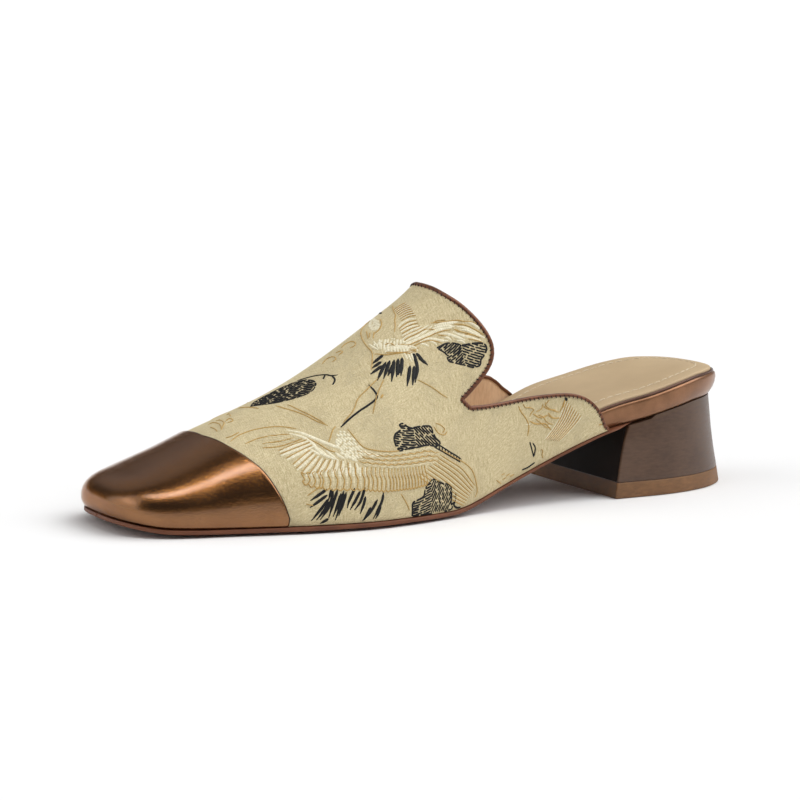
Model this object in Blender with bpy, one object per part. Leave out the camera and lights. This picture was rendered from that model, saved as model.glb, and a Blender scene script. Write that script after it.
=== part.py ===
"""Left closed toe slipper: a square toe mule on a low flared block heel.

Sizes are in millimetres: x runs from the back of the heel to the toe, y to the
wearer's left, z up from the floor. The meshes are moved at the end so that the
origin is under the middle of the bounding box, and are written in metres.
"""
import bmesh
import bpy
import numpy as np

MM = 0.001

# driving sizes
LENGTH = 250.0          # upper, back of the heel to the front of the toe
HEEL_X = 44.0           # the heel's round end starts here
HEEL_POWER = 2.1
TOE_X = 220.0           # the toe's square end starts here
TOE_POWER = 3.0
NOSE_X = 233.0          # the ridge turns down to the toe here
NOSE_POWER = 2.1
WALL = 1.6              # upper's wall
GAP = 0.3               # between pieces that are glued or sewn together
CAP_THICK = 0.7         # toe cap's leather
CAP_DOWN = 0.9          # share of the roll that the toe cap covers
BINDING_WIDE = 1.1
BINDING_PROUD = 0.12    # binding stands out of the wall on each face
BINDING_FLOOR = 0.7     # binding's ends above the wall's lower edge
SOCK_THICK = 1.4
SOCK_EDGE = 0.45
LIFT_HEIGHT = 5.6
SOLE_END = 42.0         # the outsole runs out under the heel seat here
U_END = 1.12            # section parameter at the upper's lower edge
MEDIAL_END = 3.0        # the inner quarter ends this much further forward
ROW_LINES = 26          # lines from the ridge to each lower edge
LONG_ROWS = 14
TOE_ROWS = 11

# half widths of the upper where it is widest above the sole
PLAN_COLUMNS = ("x", "lateral", "medial")
PLAN_ROWS = (
    (44, 29.4, 29.4),
    (60, 28.6, 28.2),
    (90, 28.5, 26.0),
    (120, 33.0, 27.5),
    (150, 39.5, 33.5),
    (165, 41.0, 36.5),
    (185, 39.0, 37.5),
    (205, 34.2, 35.2),
    (220, 30.4, 31.6),
    (235, 27.9, 29.2),
    (250, 26.2, 27.4),
)

# height of the upper's lower edge, and the outsole's thickness under it
SEAT_COLUMNS = ("x", "height", "sole")
SEAT_ROWS = (
    (0, 32.7, 0.5),
    (9, 33.2, 0.5),
    (18, 32.9, 0.5),
    (28, 31.5, 0.5),
    (44, 28.5, 0.6),
    (62, 25.2, 1.6),
    (73, 21.8, 1.8),
    (84, 17.8, 1.9),
    (94, 13.9, 2.0),
    (102, 11.0, 2.1),
    (110, 8.2, 2.2),
    (117.5, 5.6, 2.3),
    (124, 3.7, 2.4),
    (132, 2.7, 2.4),
    (215, 2.7, 2.4),
    (235, 3.2, 2.4),
    (250, 5.5, 2.4),
)

# ridge height over the seat, and how full the flanks and the crown are
SECTION_COLUMNS = ("x", "ridge", "flank", "crown")
SECTION_ROWS = (
    (60, 96.0, 2.10, 1.90),
    (90, 89.0, 2.05, 1.82),
    (118, 79.0, 2.00, 1.75),
    (135, 67.7, 2.04, 1.81),
    (150, 57.1, 2.08, 1.86),
    (165, 46.9, 2.15, 1.94),
    (180, 38.4, 2.30, 2.05),
    (195, 32.0, 2.45, 2.16),
    (210, 26.3, 2.57, 2.25),
    (225, 20.2, 2.65, 2.30),
    (238, 15.6, 2.73, 2.35),
    (250, 13.8, 2.80, 2.40),
)

# the flank's roll under its widest line, down to the sole
ROLL_COLUMNS = ("x", "height", "tuck")
ROLL_ROWS = (
    (60, 2.0, 0.2),
    (120, 2.4, 0.3),
    (170, 2.8, 0.5),
    (210, 3.0, 0.8),
    (235, 3.2, 1.2),
    (250, 3.2, 1.4),
)

# top line of the upper: from the tongue's peak, round the notch, to the quarter's end
COLLAR_COLUMNS = ("u", "x")
COLLAR_ROWS = (
    (0.000, 126.0),
    (0.090, 125.4),
    (0.186, 123.7),
    (0.258, 121.8),
    (0.323, 119.5),
    (0.386, 117.0),
    (0.444, 114.5),
    (0.498, 112.2),
    (0.545, 110.6),
    (0.575, 110.2),
    (0.596, 111.6),
    (0.608, 114.6),
    (0.616, 118.3),
    (0.626, 122.2),
    (0.645, 124.8),
    (0.670, 125.0),
    (0.694, 122.9),
    (0.719, 118.6),
    (0.740, 113.8),
    (0.763, 107.8),
    (0.790, 100.2),
    (0.820, 92.0),
    (0.853, 83.6),
    (0.886, 76.8),
    (0.916, 72.0),
    (0.948, 68.3),
    (1.000, 64.8),
    (1.120, 62.2),
)

# back edge of the toe cap
CAP_COLUMNS = ("u", "x")
CAP_ROWS = (
    (0.00, 210.4),
    (0.25, 209.1),
    (0.45, 206.3),
    (0.61, 203.1),
    (0.78, 200.1),
    (0.90, 197.9),
    (1.00, 196.2),
)

# the footbed's height, and how far each layer's edge stands from the plan outline
LAYER_COLUMNS = ("x", "rise", "foot", "rim", "sock", "sole")
LAYER_ROWS = (
    (0, 7.6, -2.8, -0.4, -2.3, -3.6),
    (20, 7.7, -3.2, -1.5, -2.9, -3.4),
    (44, 7.1, -3.1, -2.0, -3.2, -3.0),
    (60, 6.9, -2.5, -2.0, -3.0, 0.2),
    (75, 6.3, -2.3, -2.0, -2.8, 0.5),
    (100, 5.0, -2.3, -2.1, -2.6, 0.5),
    (130, 3.6, -2.4, -2.3, -2.5, 0.5),
    (170, 3.0, -2.6, -2.5, -2.5, 0.6),
    (210, 2.7, -2.9, -2.8, -2.6, 0.7),
    (235, 2.6, -3.4, -3.2, -3.0, 0.5),
    (250, 2.6, -3.7, -3.4, -3.4, -0.4),
)

# the heel block and its lift, level by level from the floor
HEEL_COLUMNS = ("height", "back", "breast", "half")
HEEL_ROWS = (
    (0.0, -2.8, 58.9, 29.5),
    (5.6, -1.6, 58.0, 29.0),
    (13.0, 0.0, 56.4, 28.2),
    (21.0, 1.4, 54.4, 27.4),
    (30.0, 2.9, 51.9, 26.4),
)


def column(rows, columns, name):
    place = columns.index(name)
    return np.array([row[place] for row in rows], float)


def curve(xs, vs, x):
    """Smooth curve through a table that does not overshoot its rows."""
    x = np.asarray(x, float)
    step = np.diff(xs)
    slope = np.diff(vs) / step
    bend = np.zeros_like(vs)
    bend[0] = slope[0]
    bend[-1] = slope[-1]
    before, after = slope[:-1], slope[1:]
    w1 = 2 * step[1:] + step[:-1]
    w2 = step[1:] + 2 * step[:-1]
    same = before * after > 0
    safe_b = np.where(same, before, 1.0)
    safe_a = np.where(same, after, 1.0)
    bend[1:-1] = np.where(same, (w1 + w2) / (w1 / safe_b + w2 / safe_a), 0.0)
    i = np.clip(np.searchsorted(xs, x) - 1, 0, len(xs) - 2)
    t = np.clip((x - xs[i]) / step[i], 0.0, 1.0)
    value = (2 * t ** 3 - 3 * t ** 2 + 1) * vs[i] + (t ** 3 - 2 * t ** 2 + t) * step[i] * bend[i]
    value = value + (-2 * t ** 3 + 3 * t ** 2) * vs[i + 1] + (t ** 3 - t ** 2) * step[i] * bend[i + 1]
    return value


def table(rows, columns, along, name, x):
    return curve(column(rows, columns, along), column(rows, columns, name), x)


def seat(x):
    return table(SEAT_ROWS, SEAT_COLUMNS, "x", "height", x)


def sole_thickness(x):
    return table(SEAT_ROWS, SEAT_COLUMNS, "x", "sole", x)


def layer(name, x):
    return table(LAYER_ROWS, LAYER_COLUMNS, "x", name, x)


def half_width(x, lateral, grow=0.0, grow_heel=0.0, grow_toe=0.0):
    """Half width of the plan outline, moved out by grow on the flank and by its own sizes at the ends."""
    x = np.asarray(x, float)
    base = np.where(lateral, table(PLAN_ROWS, PLAN_COLUMNS, "x", "lateral", x),
                    table(PLAN_ROWS, PLAN_COLUMNS, "x", "medial", x))
    toe = np.clip((x - TOE_X) / (LENGTH + grow_toe - TOE_X), 0.0, 1.0)
    heel = np.clip((HEEL_X - x) / (HEEL_X + grow_heel), 0.0, 1.0)
    round_toe = (1.0 - toe ** TOE_POWER) ** (1.0 / TOE_POWER)
    round_heel = (1.0 - heel ** HEEL_POWER) ** (1.0 / HEEL_POWER)
    return (base + grow) * round_toe * round_heel


def upper_point(x, u):
    """Outside of the upper: u is 0 on the ridge, +1 and -1 on the widest lines, and past them on the roll."""
    x, u = np.broadcast_arrays(np.asarray(x, float), np.asarray(u, float))
    lateral = u >= 0
    flank = table(SECTION_ROWS, SECTION_COLUMNS, "x", "flank", x)
    crown = table(SECTION_ROWS, SECTION_COLUMNS, "x", "crown", x)
    roll = table(ROLL_ROWS, ROLL_COLUMNS, "x", "height", x)
    tuck = table(ROLL_ROWS, ROLL_COLUMNS, "x", "tuck", x)
    nose = np.clip((x - NOSE_X) / (LENGTH - NOSE_X), 0.0, 1.0)
    ridge = table(SECTION_ROWS, SECTION_COLUMNS, "x", "ridge", x) - roll
    ridge = ridge * np.sqrt(np.maximum(1.0 - nose ** NOSE_POWER, 0.0))
    turn = np.minimum(np.abs(u), 1.0) * np.pi / 2
    over = np.clip((np.abs(u) - 1.0) / (U_END - 1.0), 0.0, 1.0)
    pull = tuck * over ** 2
    share = np.clip((x - TOE_X) / (LENGTH - TOE_X), 0.0, 1.0)
    x_in = x - pull * share
    width = half_width(x_in, lateral, -pull, 0.0, -pull)
    y = np.sign(u) * width * np.sin(turn) ** (2.0 / flank)
    lift = np.maximum(np.cos(turn), 0.0) ** (2.0 / crown)
    lift = np.where(np.abs(u) >= 1.0, 0.0, lift)
    z = seat(x) + roll * (1.0 - over) + ridge * lift
    return np.stack([x_in, y, z], -1)


def spline(points, count):
    """Points spaced evenly along a rounded line through the table's points."""
    points = np.asarray(points, float)
    first = points[1] * np.array([-1.0, 1.0])
    last = 2 * points[-1] - points[-2]
    p = np.vstack([first, points, last])
    fine = []
    for i in range(1, len(p) - 2):
        for t in np.linspace(0.0, 1.0, 24, endpoint=False):
            a = 2 * p[i] + (p[i + 1] - p[i - 1]) * t
            b = (2 * p[i - 1] - 5 * p[i] + 4 * p[i + 1] - p[i + 2]) * t ** 2
            c = (3 * p[i] - p[i - 1] - 3 * p[i + 1] + p[i + 2]) * t ** 3
            fine.append(0.5 * (a + b + c))
    fine.append(points[-1])
    fine = np.array(fine)
    far = np.concatenate([[0.0], np.cumsum(np.hypot(*np.diff(fine, axis=0).T))])
    place = np.linspace(0.0, far[-1], count)
    return np.stack([np.interp(place, far, fine[:, 0]), np.interp(place, far, fine[:, 1])], -1)


def even_u(count, end):
    """Section parameters at even steps of arc from the ridge to the lower edge."""
    u = np.linspace(0.0, end, 400)
    arc = upper_point(np.full_like(u, 185.0), u)
    far = np.concatenate([[0.0], np.cumsum(np.linalg.norm(np.diff(arc, axis=0), axis=1))])
    return np.interp(np.linspace(0.0, far[-1], count), far, u)


def toe_steps(rows):
    """Stations that follow the toe's square end, closing up towards its front."""
    turn = np.linspace(0.0, 1.0, rows + 1)[1:] * np.radians(88.5)
    return TOE_X + (LENGTH - TOE_X) * np.sin(turn) ** (2.0 / TOE_POWER)


def collar_line():
    """Collar on the outer side as (u, x), from the ridge to the lower edge."""
    scale = np.array([75.0, 1.0])
    rows = [(column(COLLAR_ROWS, COLLAR_COLUMNS, "u")[i], column(COLLAR_ROWS, COLLAR_COLUMNS, "x")[i])
            for i in range(len(COLLAR_ROWS))]
    return spline(np.array(rows) * scale, ROW_LINES + 1) / scale


def mirrored(half):
    """Both sides of a list that starts on the ridge, from the outer edge to the inner one."""
    return np.concatenate([half[::-1], half[1:]])


def upper_grid():
    """Stations (x, u) of the whole upper: one line per row, from the collar to the toe."""
    line = collar_line()
    u_top = line[:, 0]
    u_low = even_u(ROW_LINES + 1, U_END)
    sign = np.concatenate([np.ones(ROW_LINES + 1), -np.ones(ROW_LINES)])
    u_top = mirrored(u_top) * sign
    u_low = mirrored(u_low) * sign
    start = mirrored(line[:, 1])
    inner = np.clip((-u_top - 0.8) / 0.2, 0.0, 1.0)
    start = start + MEDIAL_END * inner * inner * (3 - 2 * inner)
    share = np.linspace(0.0, 1.0, LONG_ROWS + 1)
    x = start[:, None] + (TOE_X - start[:, None]) * share[None, :]
    mix = np.clip(share / 0.7, 0.0, 1.0)
    mix = mix * mix * (3 - 2 * mix)
    u = u_top[:, None] * (1 - mix) + u_low[:, None] * mix
    toe = np.tile(toe_steps(TOE_ROWS), (len(start), 1))
    u_toe = np.tile(u_low[:, None], (1, TOE_ROWS))
    return np.hstack([x, toe]), np.hstack([u, u_toe])


def cap_grid():
    """Stations of the toe cap, on the upper's own lines; it stops just short of the lower edge."""
    half = even_u(ROW_LINES + 1, U_END)
    half[-1] = 1.0 + (U_END - 1.0) * CAP_DOWN
    sign = np.concatenate([np.ones(ROW_LINES + 1), -np.ones(ROW_LINES)])
    u = mirrored(half) * sign
    start = table(CAP_ROWS, CAP_COLUMNS, "u", "x", np.minimum(np.abs(u), 1.0))
    share = np.linspace(0.0, 1.0, 5)
    x = start[:, None] + (TOE_X - start[:, None]) * share[None, :]
    toe = np.tile(toe_steps(TOE_ROWS), (len(u), 1))
    x = np.hstack([x, toe])
    return x, np.tile(u[:, None], (1, x.shape[1]))


def normals(points, level_edges):
    """Outward directions of a grid; its two long edges can be kept level."""
    along = np.gradient(points, axis=1)
    across = np.gradient(points, axis=0)
    n = np.cross(along, across)
    n = n / np.maximum(np.linalg.norm(n, axis=-1, keepdims=True), 1e-12)
    middle = len(points) // 2
    if n[middle, 0, 2] < 0:
        n = -n
    if level_edges:
        for row in (0, -1):
            n[row, :, 2] = 0.0
            n[row] = n[row] / np.linalg.norm(n[row], axis=-1, keepdims=True)
    return n


def shell(outer, inner):
    """Closed wall between two grids that meet round the toe."""
    lines, rows = outer.shape[:2]
    verts = np.concatenate([outer.reshape(-1, 3), inner.reshape(-1, 3)])
    inside = lines * rows
    faces = []

    def at(i, k, side):
        return side * inside + i * rows + k

    for side in (0, 1):
        for i in range(lines - 1):
            for k in range(rows - 1):
                quad = [at(i, k, side), at(i + 1, k, side), at(i + 1, k + 1, side), at(i, k + 1, side)]
                faces.append(quad if side == 0 else quad[::-1])
        end = rows - 1
        for i in range(lines // 2 - 1):
            j = lines - 1 - i
            quad = [at(i, end, side), at(i + 1, end, side), at(j - 1, end, side), at(j, end, side)]
            faces.append(quad if side == 0 else quad[::-1])
        tip = lines // 2
        triangle = [at(tip - 1, end, side), at(tip, end, side), at(tip + 1, end, side)]
        faces.append(triangle if side == 0 else triangle[::-1])
    for i in range(lines - 1):
        faces.append([at(i + 1, 0, 0), at(i, 0, 0), at(i, 0, 1), at(i + 1, 0, 1)])
    for i, turn in ((0, 1), (lines - 1, -1)):
        for k in range(rows - 1):
            quad = [at(i, k, 0), at(i, k + 1, 0), at(i, k + 1, 1), at(i, k, 1)]
            faces.append(quad[::turn])
    end = rows - 1
    faces.append([at(0, end, 0), at(lines - 1, end, 0), at(lines - 1, end, 1), at(0, end, 1)])
    return verts, faces


def slab(levels):
    """Closed solid from levels that each hold (x, left half, right half, z) at the same stations."""
    count = len(levels[0][0])
    rings = []
    for i in range(count):
        ring = [(lv[0][i], lv[1][i], lv[3][i]) for lv in levels]
        ring = ring + [(lv[0][i], -lv[2][i], lv[3][i]) for lv in reversed(levels)]
        rings.append(ring)
    size = len(rings[0])
    verts = np.array(rings, float).reshape(-1, 3)
    faces = []
    for i in range(count - 1):
        for k in range(size):
            m = (k + 1) % size
            faces.append([i * size + k, i * size + m, (i + 1) * size + m, (i + 1) * size + k])
    faces.append([k for k in range(size)])
    faces.append([(count - 1) * size + k for k in reversed(range(size))])
    return verts, faces


def plan_steps():
    """Shares along the plan outline's length, closing up at its round ends."""
    heel = HEEL_X * (1 - np.sin(np.radians(np.linspace(87.5, 0, 12))) ** (2 / HEEL_POWER))
    middle = np.linspace(HEEL_X, TOE_X, 26)[1:-1]
    toe = TOE_X + (LENGTH - TOE_X) * np.sin(np.radians(np.linspace(0, 88.0, 13))) ** (2 / TOE_POWER)
    return np.concatenate([heel, middle, toe])


def plan_level(x, grow, height):
    """One level of a layer that follows the plan outline; grow is taken at each station."""
    grow_heel = float(grow[0])
    grow_toe = float(grow[-1])
    heel = np.clip((HEEL_X - x) / HEEL_X, 0.0, 1.0)
    toe = np.clip((x - TOE_X) / (LENGTH - TOE_X), 0.0, 1.0)
    moved = x - heel * grow_heel + toe * grow_toe
    left = half_width(moved, True, grow, grow_heel, grow_toe)
    right = half_width(moved, False, grow, grow_heel, grow_toe)
    return moved, left, right, height(moved)


def footbed_levels():
    x = plan_steps()
    foot, rim = layer("foot", x), layer("rim", x)

    def at(share):
        return lambda s: seat(s) + layer("rise", s) * share

    return [
        plan_level(x, foot, at(0.0)),
        plan_level(x, foot * 0.45 + rim * 0.55, at(0.35)),
        plan_level(x, rim, at(0.78)),
        plan_level(x, rim - 0.35, at(1.0)),
    ]


def sock_levels():
    x = plan_steps()
    edge = layer("sock", x)

    def at(up):
        return lambda s: seat(s) + layer("rise", s) + GAP + up

    return [
        plan_level(x, edge, at(0.0)),
        plan_level(x, edge, at(SOCK_THICK - SOCK_EDGE)),
        plan_level(x, edge - SOCK_EDGE, at(SOCK_THICK)),
    ]


def outsole_levels():
    x = plan_steps()
    x = x[x > SOLE_END]
    x = np.concatenate([[SOLE_END], x])
    grow = layer("sole", x)

    def top(s):
        return seat(s) - GAP

    def low(s):
        return np.maximum(seat(s) - GAP - sole_thickness(s), 0.0)

    return [plan_level(x, grow, low), plan_level(x, grow, top)]


def heel_level(height, top=None):
    """One level of the heel: flat breast with eased corners, round back."""
    back = table(HEEL_ROWS, HEEL_COLUMNS, "height", "back", height)
    breast = table(HEEL_ROWS, HEEL_COLUMNS, "height", "breast", height)
    half = table(HEEL_ROWS, HEEL_COLUMNS, "height", "half", height)
    centre = HEEL_X
    turn = np.radians(np.linspace(87.5, 0, 12))
    rear = centre - (centre - back) * np.sin(turn) ** (2 / HEEL_POWER)
    front = centre + (breast - centre) * np.array([0.3, 0.6, 0.9, 1.0])
    x = np.concatenate([rear, front])
    part = np.clip((centre - x) / (centre - back), 0.0, 1.0)
    y = half * (1 - part ** HEEL_POWER) ** (1 / HEEL_POWER)
    y[-1] = y[-1] - 1.3
    z = np.full_like(x, height) if top is None else top(x)
    return x, y, y, z


def heel_top(x):
    """Underside of what the heel carries: the footbed, and the outsole's thin end in front of it."""
    sole = np.clip((x - (SOLE_END - 5.0)) / 4.0, 0.0, 1.0)
    return seat(x) - GAP - sole * (sole_thickness(x) + GAP)


def heel_levels():
    levels = [heel_level(LIFT_HEIGHT + GAP)]
    for height in (13.0, 21.0):
        levels.append(heel_level(height))
    levels.append(heel_level(30.0, heel_top))
    return levels


def lift_levels():
    return [heel_level(0.0), heel_level(LIFT_HEIGHT)]


def binding(outer, inner):
    """Bead along the collar, clear of the wall's edge, eight sided."""
    edge = (outer[:, 0] + inner[:, 0]) / 2
    through = outer[:, 0] - inner[:, 0]
    through = through / np.linalg.norm(through, axis=1, keepdims=True)
    path = np.gradient(edge, axis=0)
    path = path / np.linalg.norm(path, axis=1, keepdims=True)
    away = np.cross(path, through)
    away = away / np.linalg.norm(away, axis=1, keepdims=True)
    middle = len(edge) // 2
    if away[middle, 0] > 0:
        away = -away
    away[0] = away[0] * np.array([1.0, 1.0, 0.0])
    away[-1] = away[-1] * np.array([1.0, 1.0, 0.0])
    centre = edge + away * (GAP + BINDING_WIDE / 2)
    centre[[0, -1], 2] += BINDING_FLOOR
    turn = np.radians(np.arange(8) * 45.0 + 22.5)
    half_wall = WALL / 2 + BINDING_PROUD
    stretch = 1 / np.cos(np.radians(22.5))
    rings = []
    for i in range(len(edge)):
        for a in turn:
            out = np.clip(np.cos(a) * stretch, -1, 1) * half_wall
            up = np.clip(np.sin(a) * stretch, -1, 1) * BINDING_WIDE / 2
            rings.append(centre[i] + through[i] * out + away[i] * up)
    faces = []
    for i in range(len(edge) - 1):
        for k in range(8):
            m = (k + 1) % 8
            faces.append([i * 8 + k, i * 8 + m, (i + 1) * 8 + m, (i + 1) * 8 + k])
    faces.append([k for k in range(8)])
    faces.append([(len(edge) - 1) * 8 + k for k in reversed(range(8))])
    return np.array(rings), faces


def material(name, colour, roughness, metallic=0.0):
    mat = bpy.data.materials.new(name)
    mat.use_nodes = True
    shader = mat.node_tree.nodes["Principled BSDF"]
    shader.inputs["Base Color"].default_value = (*colour, 1.0)
    shader.inputs["Roughness"].default_value = roughness
    shader.inputs["Metallic"].default_value = metallic
    return mat


def add(name, verts, faces, mat, sharp):
    mesh = bpy.data.meshes.new(name)
    mesh.from_pydata([tuple(v) for v in verts], [], faces)
    work = bmesh.new()
    work.from_mesh(mesh)
    bmesh.ops.recalc_face_normals(work, faces=work.faces)
    bmesh.ops.triangulate(work, faces=[f for f in work.faces if len(f.verts) > 4])
    work.to_mesh(mesh)
    work.free()
    mesh.validate()
    for poly in mesh.polygons:
        poly.use_smooth = True
    mesh.set_sharp_from_angle(angle=np.radians(sharp))
    mesh.materials.append(mat)
    obj = bpy.data.objects.new(name, mesh)
    bpy.context.scene.collection.objects.link(obj)
    return obj


def main():
    for obj in list(bpy.data.objects):
        bpy.data.objects.remove(obj, do_unlink=True)

    x, u = upper_grid()
    outer = upper_point(x, u)
    inner = outer - normals(outer, True) * WALL
    pieces = {"upper": shell(outer, inner), "collar_binding": binding(outer, inner)}

    x, u = cap_grid()
    face = upper_point(x, u)
    out = normals(face, True)
    pieces["toe_cap"] = shell(face + out * (GAP + CAP_THICK), face + out * GAP)

    pieces["outsole"] = slab(outsole_levels())
    pieces["footbed"] = slab(footbed_levels())
    pieces["sock_lining"] = slab(sock_levels())
    pieces["heel_block"] = slab(heel_levels())
    pieces["top_lift"] = slab(lift_levels())

    every = np.concatenate([verts for verts, _ in pieces.values()])
    low, high = every.min(axis=0), every.max(axis=0)
    move = np.array([-(low[0] + high[0]) / 2, -(low[1] + high[1]) / 2, -low[2]])

    looks = {
        "upper": material("brocade", (0.58, 0.48, 0.27), 0.65),
        "toe_cap": material("bronze_leather", (0.30, 0.15, 0.07), 0.28, 0.8),
        "collar_binding": material("binding_leather", (0.16, 0.065, 0.035), 0.5),
        "outsole": material("sole_leather", (0.22, 0.075, 0.035), 0.5),
        "footbed": material("rim_leather", (0.28, 0.13, 0.06), 0.4, 0.3),
        "sock_lining": material("sock_leather", (0.52, 0.38, 0.23), 0.6),
        "heel_block": material("heel_leather", (0.12, 0.075, 0.05), 0.4),
        "top_lift": material("lift_rubber", (0.22, 0.11, 0.05), 0.6),
    }
    for name, (verts, faces) in pieces.items():
        add(name, (verts + move) * MM, faces, looks[name], 40.0)


main()
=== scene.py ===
"""Looks of a left closed toe slipper: a square toe brocade mule on a low flared block heel.

Sizes are in millimetres: x runs from the back of the heel to the toe, y to the
wearer's left, z up from the floor, as in the CAD part. Meshes are moved into the
row frame and written in metres.
"""

import bmesh
import bpy
import numpy as np
from mathutils import Matrix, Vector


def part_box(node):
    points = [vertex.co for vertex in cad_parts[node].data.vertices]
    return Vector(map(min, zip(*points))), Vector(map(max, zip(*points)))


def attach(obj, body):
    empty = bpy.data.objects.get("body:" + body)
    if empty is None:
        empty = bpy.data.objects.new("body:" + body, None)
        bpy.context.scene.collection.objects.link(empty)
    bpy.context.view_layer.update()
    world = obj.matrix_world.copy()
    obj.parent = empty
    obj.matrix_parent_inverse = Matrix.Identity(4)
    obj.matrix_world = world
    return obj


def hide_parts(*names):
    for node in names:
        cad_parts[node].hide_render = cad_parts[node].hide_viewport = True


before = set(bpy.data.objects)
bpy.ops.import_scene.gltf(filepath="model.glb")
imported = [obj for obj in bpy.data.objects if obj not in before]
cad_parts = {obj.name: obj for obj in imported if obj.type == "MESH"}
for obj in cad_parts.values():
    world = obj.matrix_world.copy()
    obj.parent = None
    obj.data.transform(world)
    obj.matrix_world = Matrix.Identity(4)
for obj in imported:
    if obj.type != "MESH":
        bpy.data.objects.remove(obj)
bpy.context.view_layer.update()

MM = 0.001


def curve(xs, vs, x):
    """Smooth curve through a table that does not overshoot its rows."""
    x = np.asarray(x, float)
    step = np.diff(xs)
    slope = np.diff(vs) / step
    bend = np.zeros_like(vs)
    bend[0], bend[-1] = slope[0], slope[-1]
    before, after = slope[:-1], slope[1:]
    w1 = 2 * step[1:] + step[:-1]
    w2 = step[1:] + 2 * step[:-1]
    same = before * after > 0
    safe_b = np.where(same, before, 1.0)
    safe_a = np.where(same, after, 1.0)
    bend[1:-1] = np.where(same, (w1 + w2) / (w1 / safe_b + w2 / safe_a), 0.0)
    i = np.clip(np.searchsorted(xs, x) - 1, 0, len(xs) - 2)
    t = np.clip((x - xs[i]) / step[i], 0.0, 1.0)
    value = (2 * t ** 3 - 3 * t ** 2 + 1) * vs[i] + (t ** 3 - 2 * t ** 2 + t) * step[i] * bend[i]
    return value + (-2 * t ** 3 + 3 * t ** 2) * vs[i + 1] + (t ** 3 - t ** 2) * step[i] * bend[i + 1]


class Table:
    """Rows of sizes, read as smooth curves along the first column."""

    def __init__(self, names, *rows):
        self.columns = dict(zip(names.split(), np.array(rows, float).T))
        self.along = self.columns[names.split()[0]]

    def __call__(self, name, at):
        return curve(self.along, self.columns[name], at)


# Sizes shared with the CAD part, apart from the footbed's rise at the heel
LENGTH = 250.0
HEEL_X = 44.0
HEEL_POWER = 2.1
TOE_X = 220.0
TOE_POWER = 3.0
NOSE_X = 233.0
NOSE_POWER = 2.1
WALL = 1.6
GAP = 0.3
LIFT_HEIGHT = 5.6
SOLE_END = 42.0
U_END = 1.12

PLAN = Table(
    "x lateral medial",
    (44, 29.4, 29.4), (60, 28.6, 28.2), (90, 28.5, 26.0), (120, 33.0, 27.5), (150, 39.5, 33.5),
    (165, 41.0, 36.5), (185, 39.0, 37.5), (205, 34.2, 35.2), (220, 30.4, 31.6), (235, 27.9, 29.2),
    (250, 26.2, 27.4),
)
SEAT = Table(
    "x height",
    (0, 32.7), (9, 33.2), (18, 32.9), (28, 31.5), (44, 28.5), (62, 25.2), (73, 21.8), (84, 17.8), (94, 13.9),
    (102, 11.0), (110, 8.2), (117.5, 5.6), (124, 3.7), (132, 2.7), (215, 2.7), (235, 3.2), (250, 5.5),
)
SECTION = Table(
    "x ridge flank crown",
    (60, 96.0, 2.10, 1.90), (90, 89.0, 2.05, 1.82), (118, 79.0, 2.00, 1.75), (135, 67.7, 2.04, 1.81),
    (150, 57.1, 2.08, 1.86), (165, 46.9, 2.15, 1.94), (180, 38.4, 2.30, 2.05), (195, 32.0, 2.45, 2.16),
    (210, 26.3, 2.57, 2.25), (225, 20.2, 2.65, 2.30), (238, 15.6, 2.73, 2.35), (250, 13.8, 2.80, 2.40),
)
ROLL = Table(
    "x height tuck",
    (60, 2.0, 0.2), (120, 2.4, 0.3), (170, 2.8, 0.5), (210, 3.0, 0.8), (235, 3.2, 1.2), (250, 3.2, 1.4),
)
COLLAR_ROWS = (  # section parameter u, and x
    (0.000, 126.0), (0.090, 125.4), (0.186, 123.7), (0.258, 121.8), (0.323, 119.5), (0.386, 117.0),
    (0.444, 114.5), (0.498, 112.2), (0.545, 110.5), (0.580, 110.0), (0.606, 110.9), (0.622, 113.0),
    (0.633, 116.2), (0.642, 120.0), (0.648, 123.2), (0.6505, 124.7), (0.653, 125.0), (0.657, 124.7),
    (0.668, 123.9), (0.684, 122.8), (0.696, 121.8), (0.7035, 121.0), (0.711, 119.4), (0.722, 117.0),
    (0.733, 114.4), (0.751, 109.9), (0.774, 103.4), (0.803, 94.9), (0.832, 86.8), (0.862, 78.8),
    (0.895, 72.5), (0.931, 68.2), (0.968, 65.4), (1.000, 64.1), (1.050, 63.0), (1.120, 62.2),
)
INNER_COLLAR = Table(  # how much farther forward the inner quarter's collar lies
    "u ahead",
    (0.0, 0.0), (0.80, 0.0), (0.84, 0.4), (0.86, 1.4), (0.88, 2.9), (0.915, 4.2), (0.96, 3.0), (1.12, 2.0),
)
CAP = Table(
    "u x",
    (0.00, 210.4), (0.25, 209.1), (0.45, 206.3), (0.61, 203.1), (0.78, 200.1), (0.90, 197.9), (1.00, 196.2),
)
LAYER = Table(  # the footbed's rise, and how far each edge lies outside the plan outline
    "x rise foot rim sock sole",
    (0, 8.3, -2.8, -0.4, -2.3, -3.6), (20, 8.5, -3.2, -1.5, -2.9, -3.4), (44, 7.8, -3.1, -2.0, -3.2, -3.0),
    (60, 7.4, -2.5, -2.0, -3.0, 0.2), (75, 6.6, -2.3, -2.0, -2.8, 0.5), (100, 5.0, -2.3, -2.1, -2.6, 0.5),
    (130, 3.6, -2.4, -2.3, -2.5, 0.5), (170, 3.0, -2.6, -2.5, -2.5, 0.6), (210, 2.7, -2.9, -2.8, -2.6, 0.7),
    (235, 2.6, -3.4, -3.2, -3.0, 0.5), (250, 2.6, -3.7, -3.4, -3.4, -0.4),
)
HEEL = Table(
    "height back breast half",
    (0.0, -2.8, 58.9, 29.5), (5.6, -1.6, 58.0, 29.0), (13.0, 0.0, 56.4, 28.2), (21.0, 1.4, 54.4, 27.4),
    (30.0, 2.9, 51.9, 26.4),
)

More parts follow.
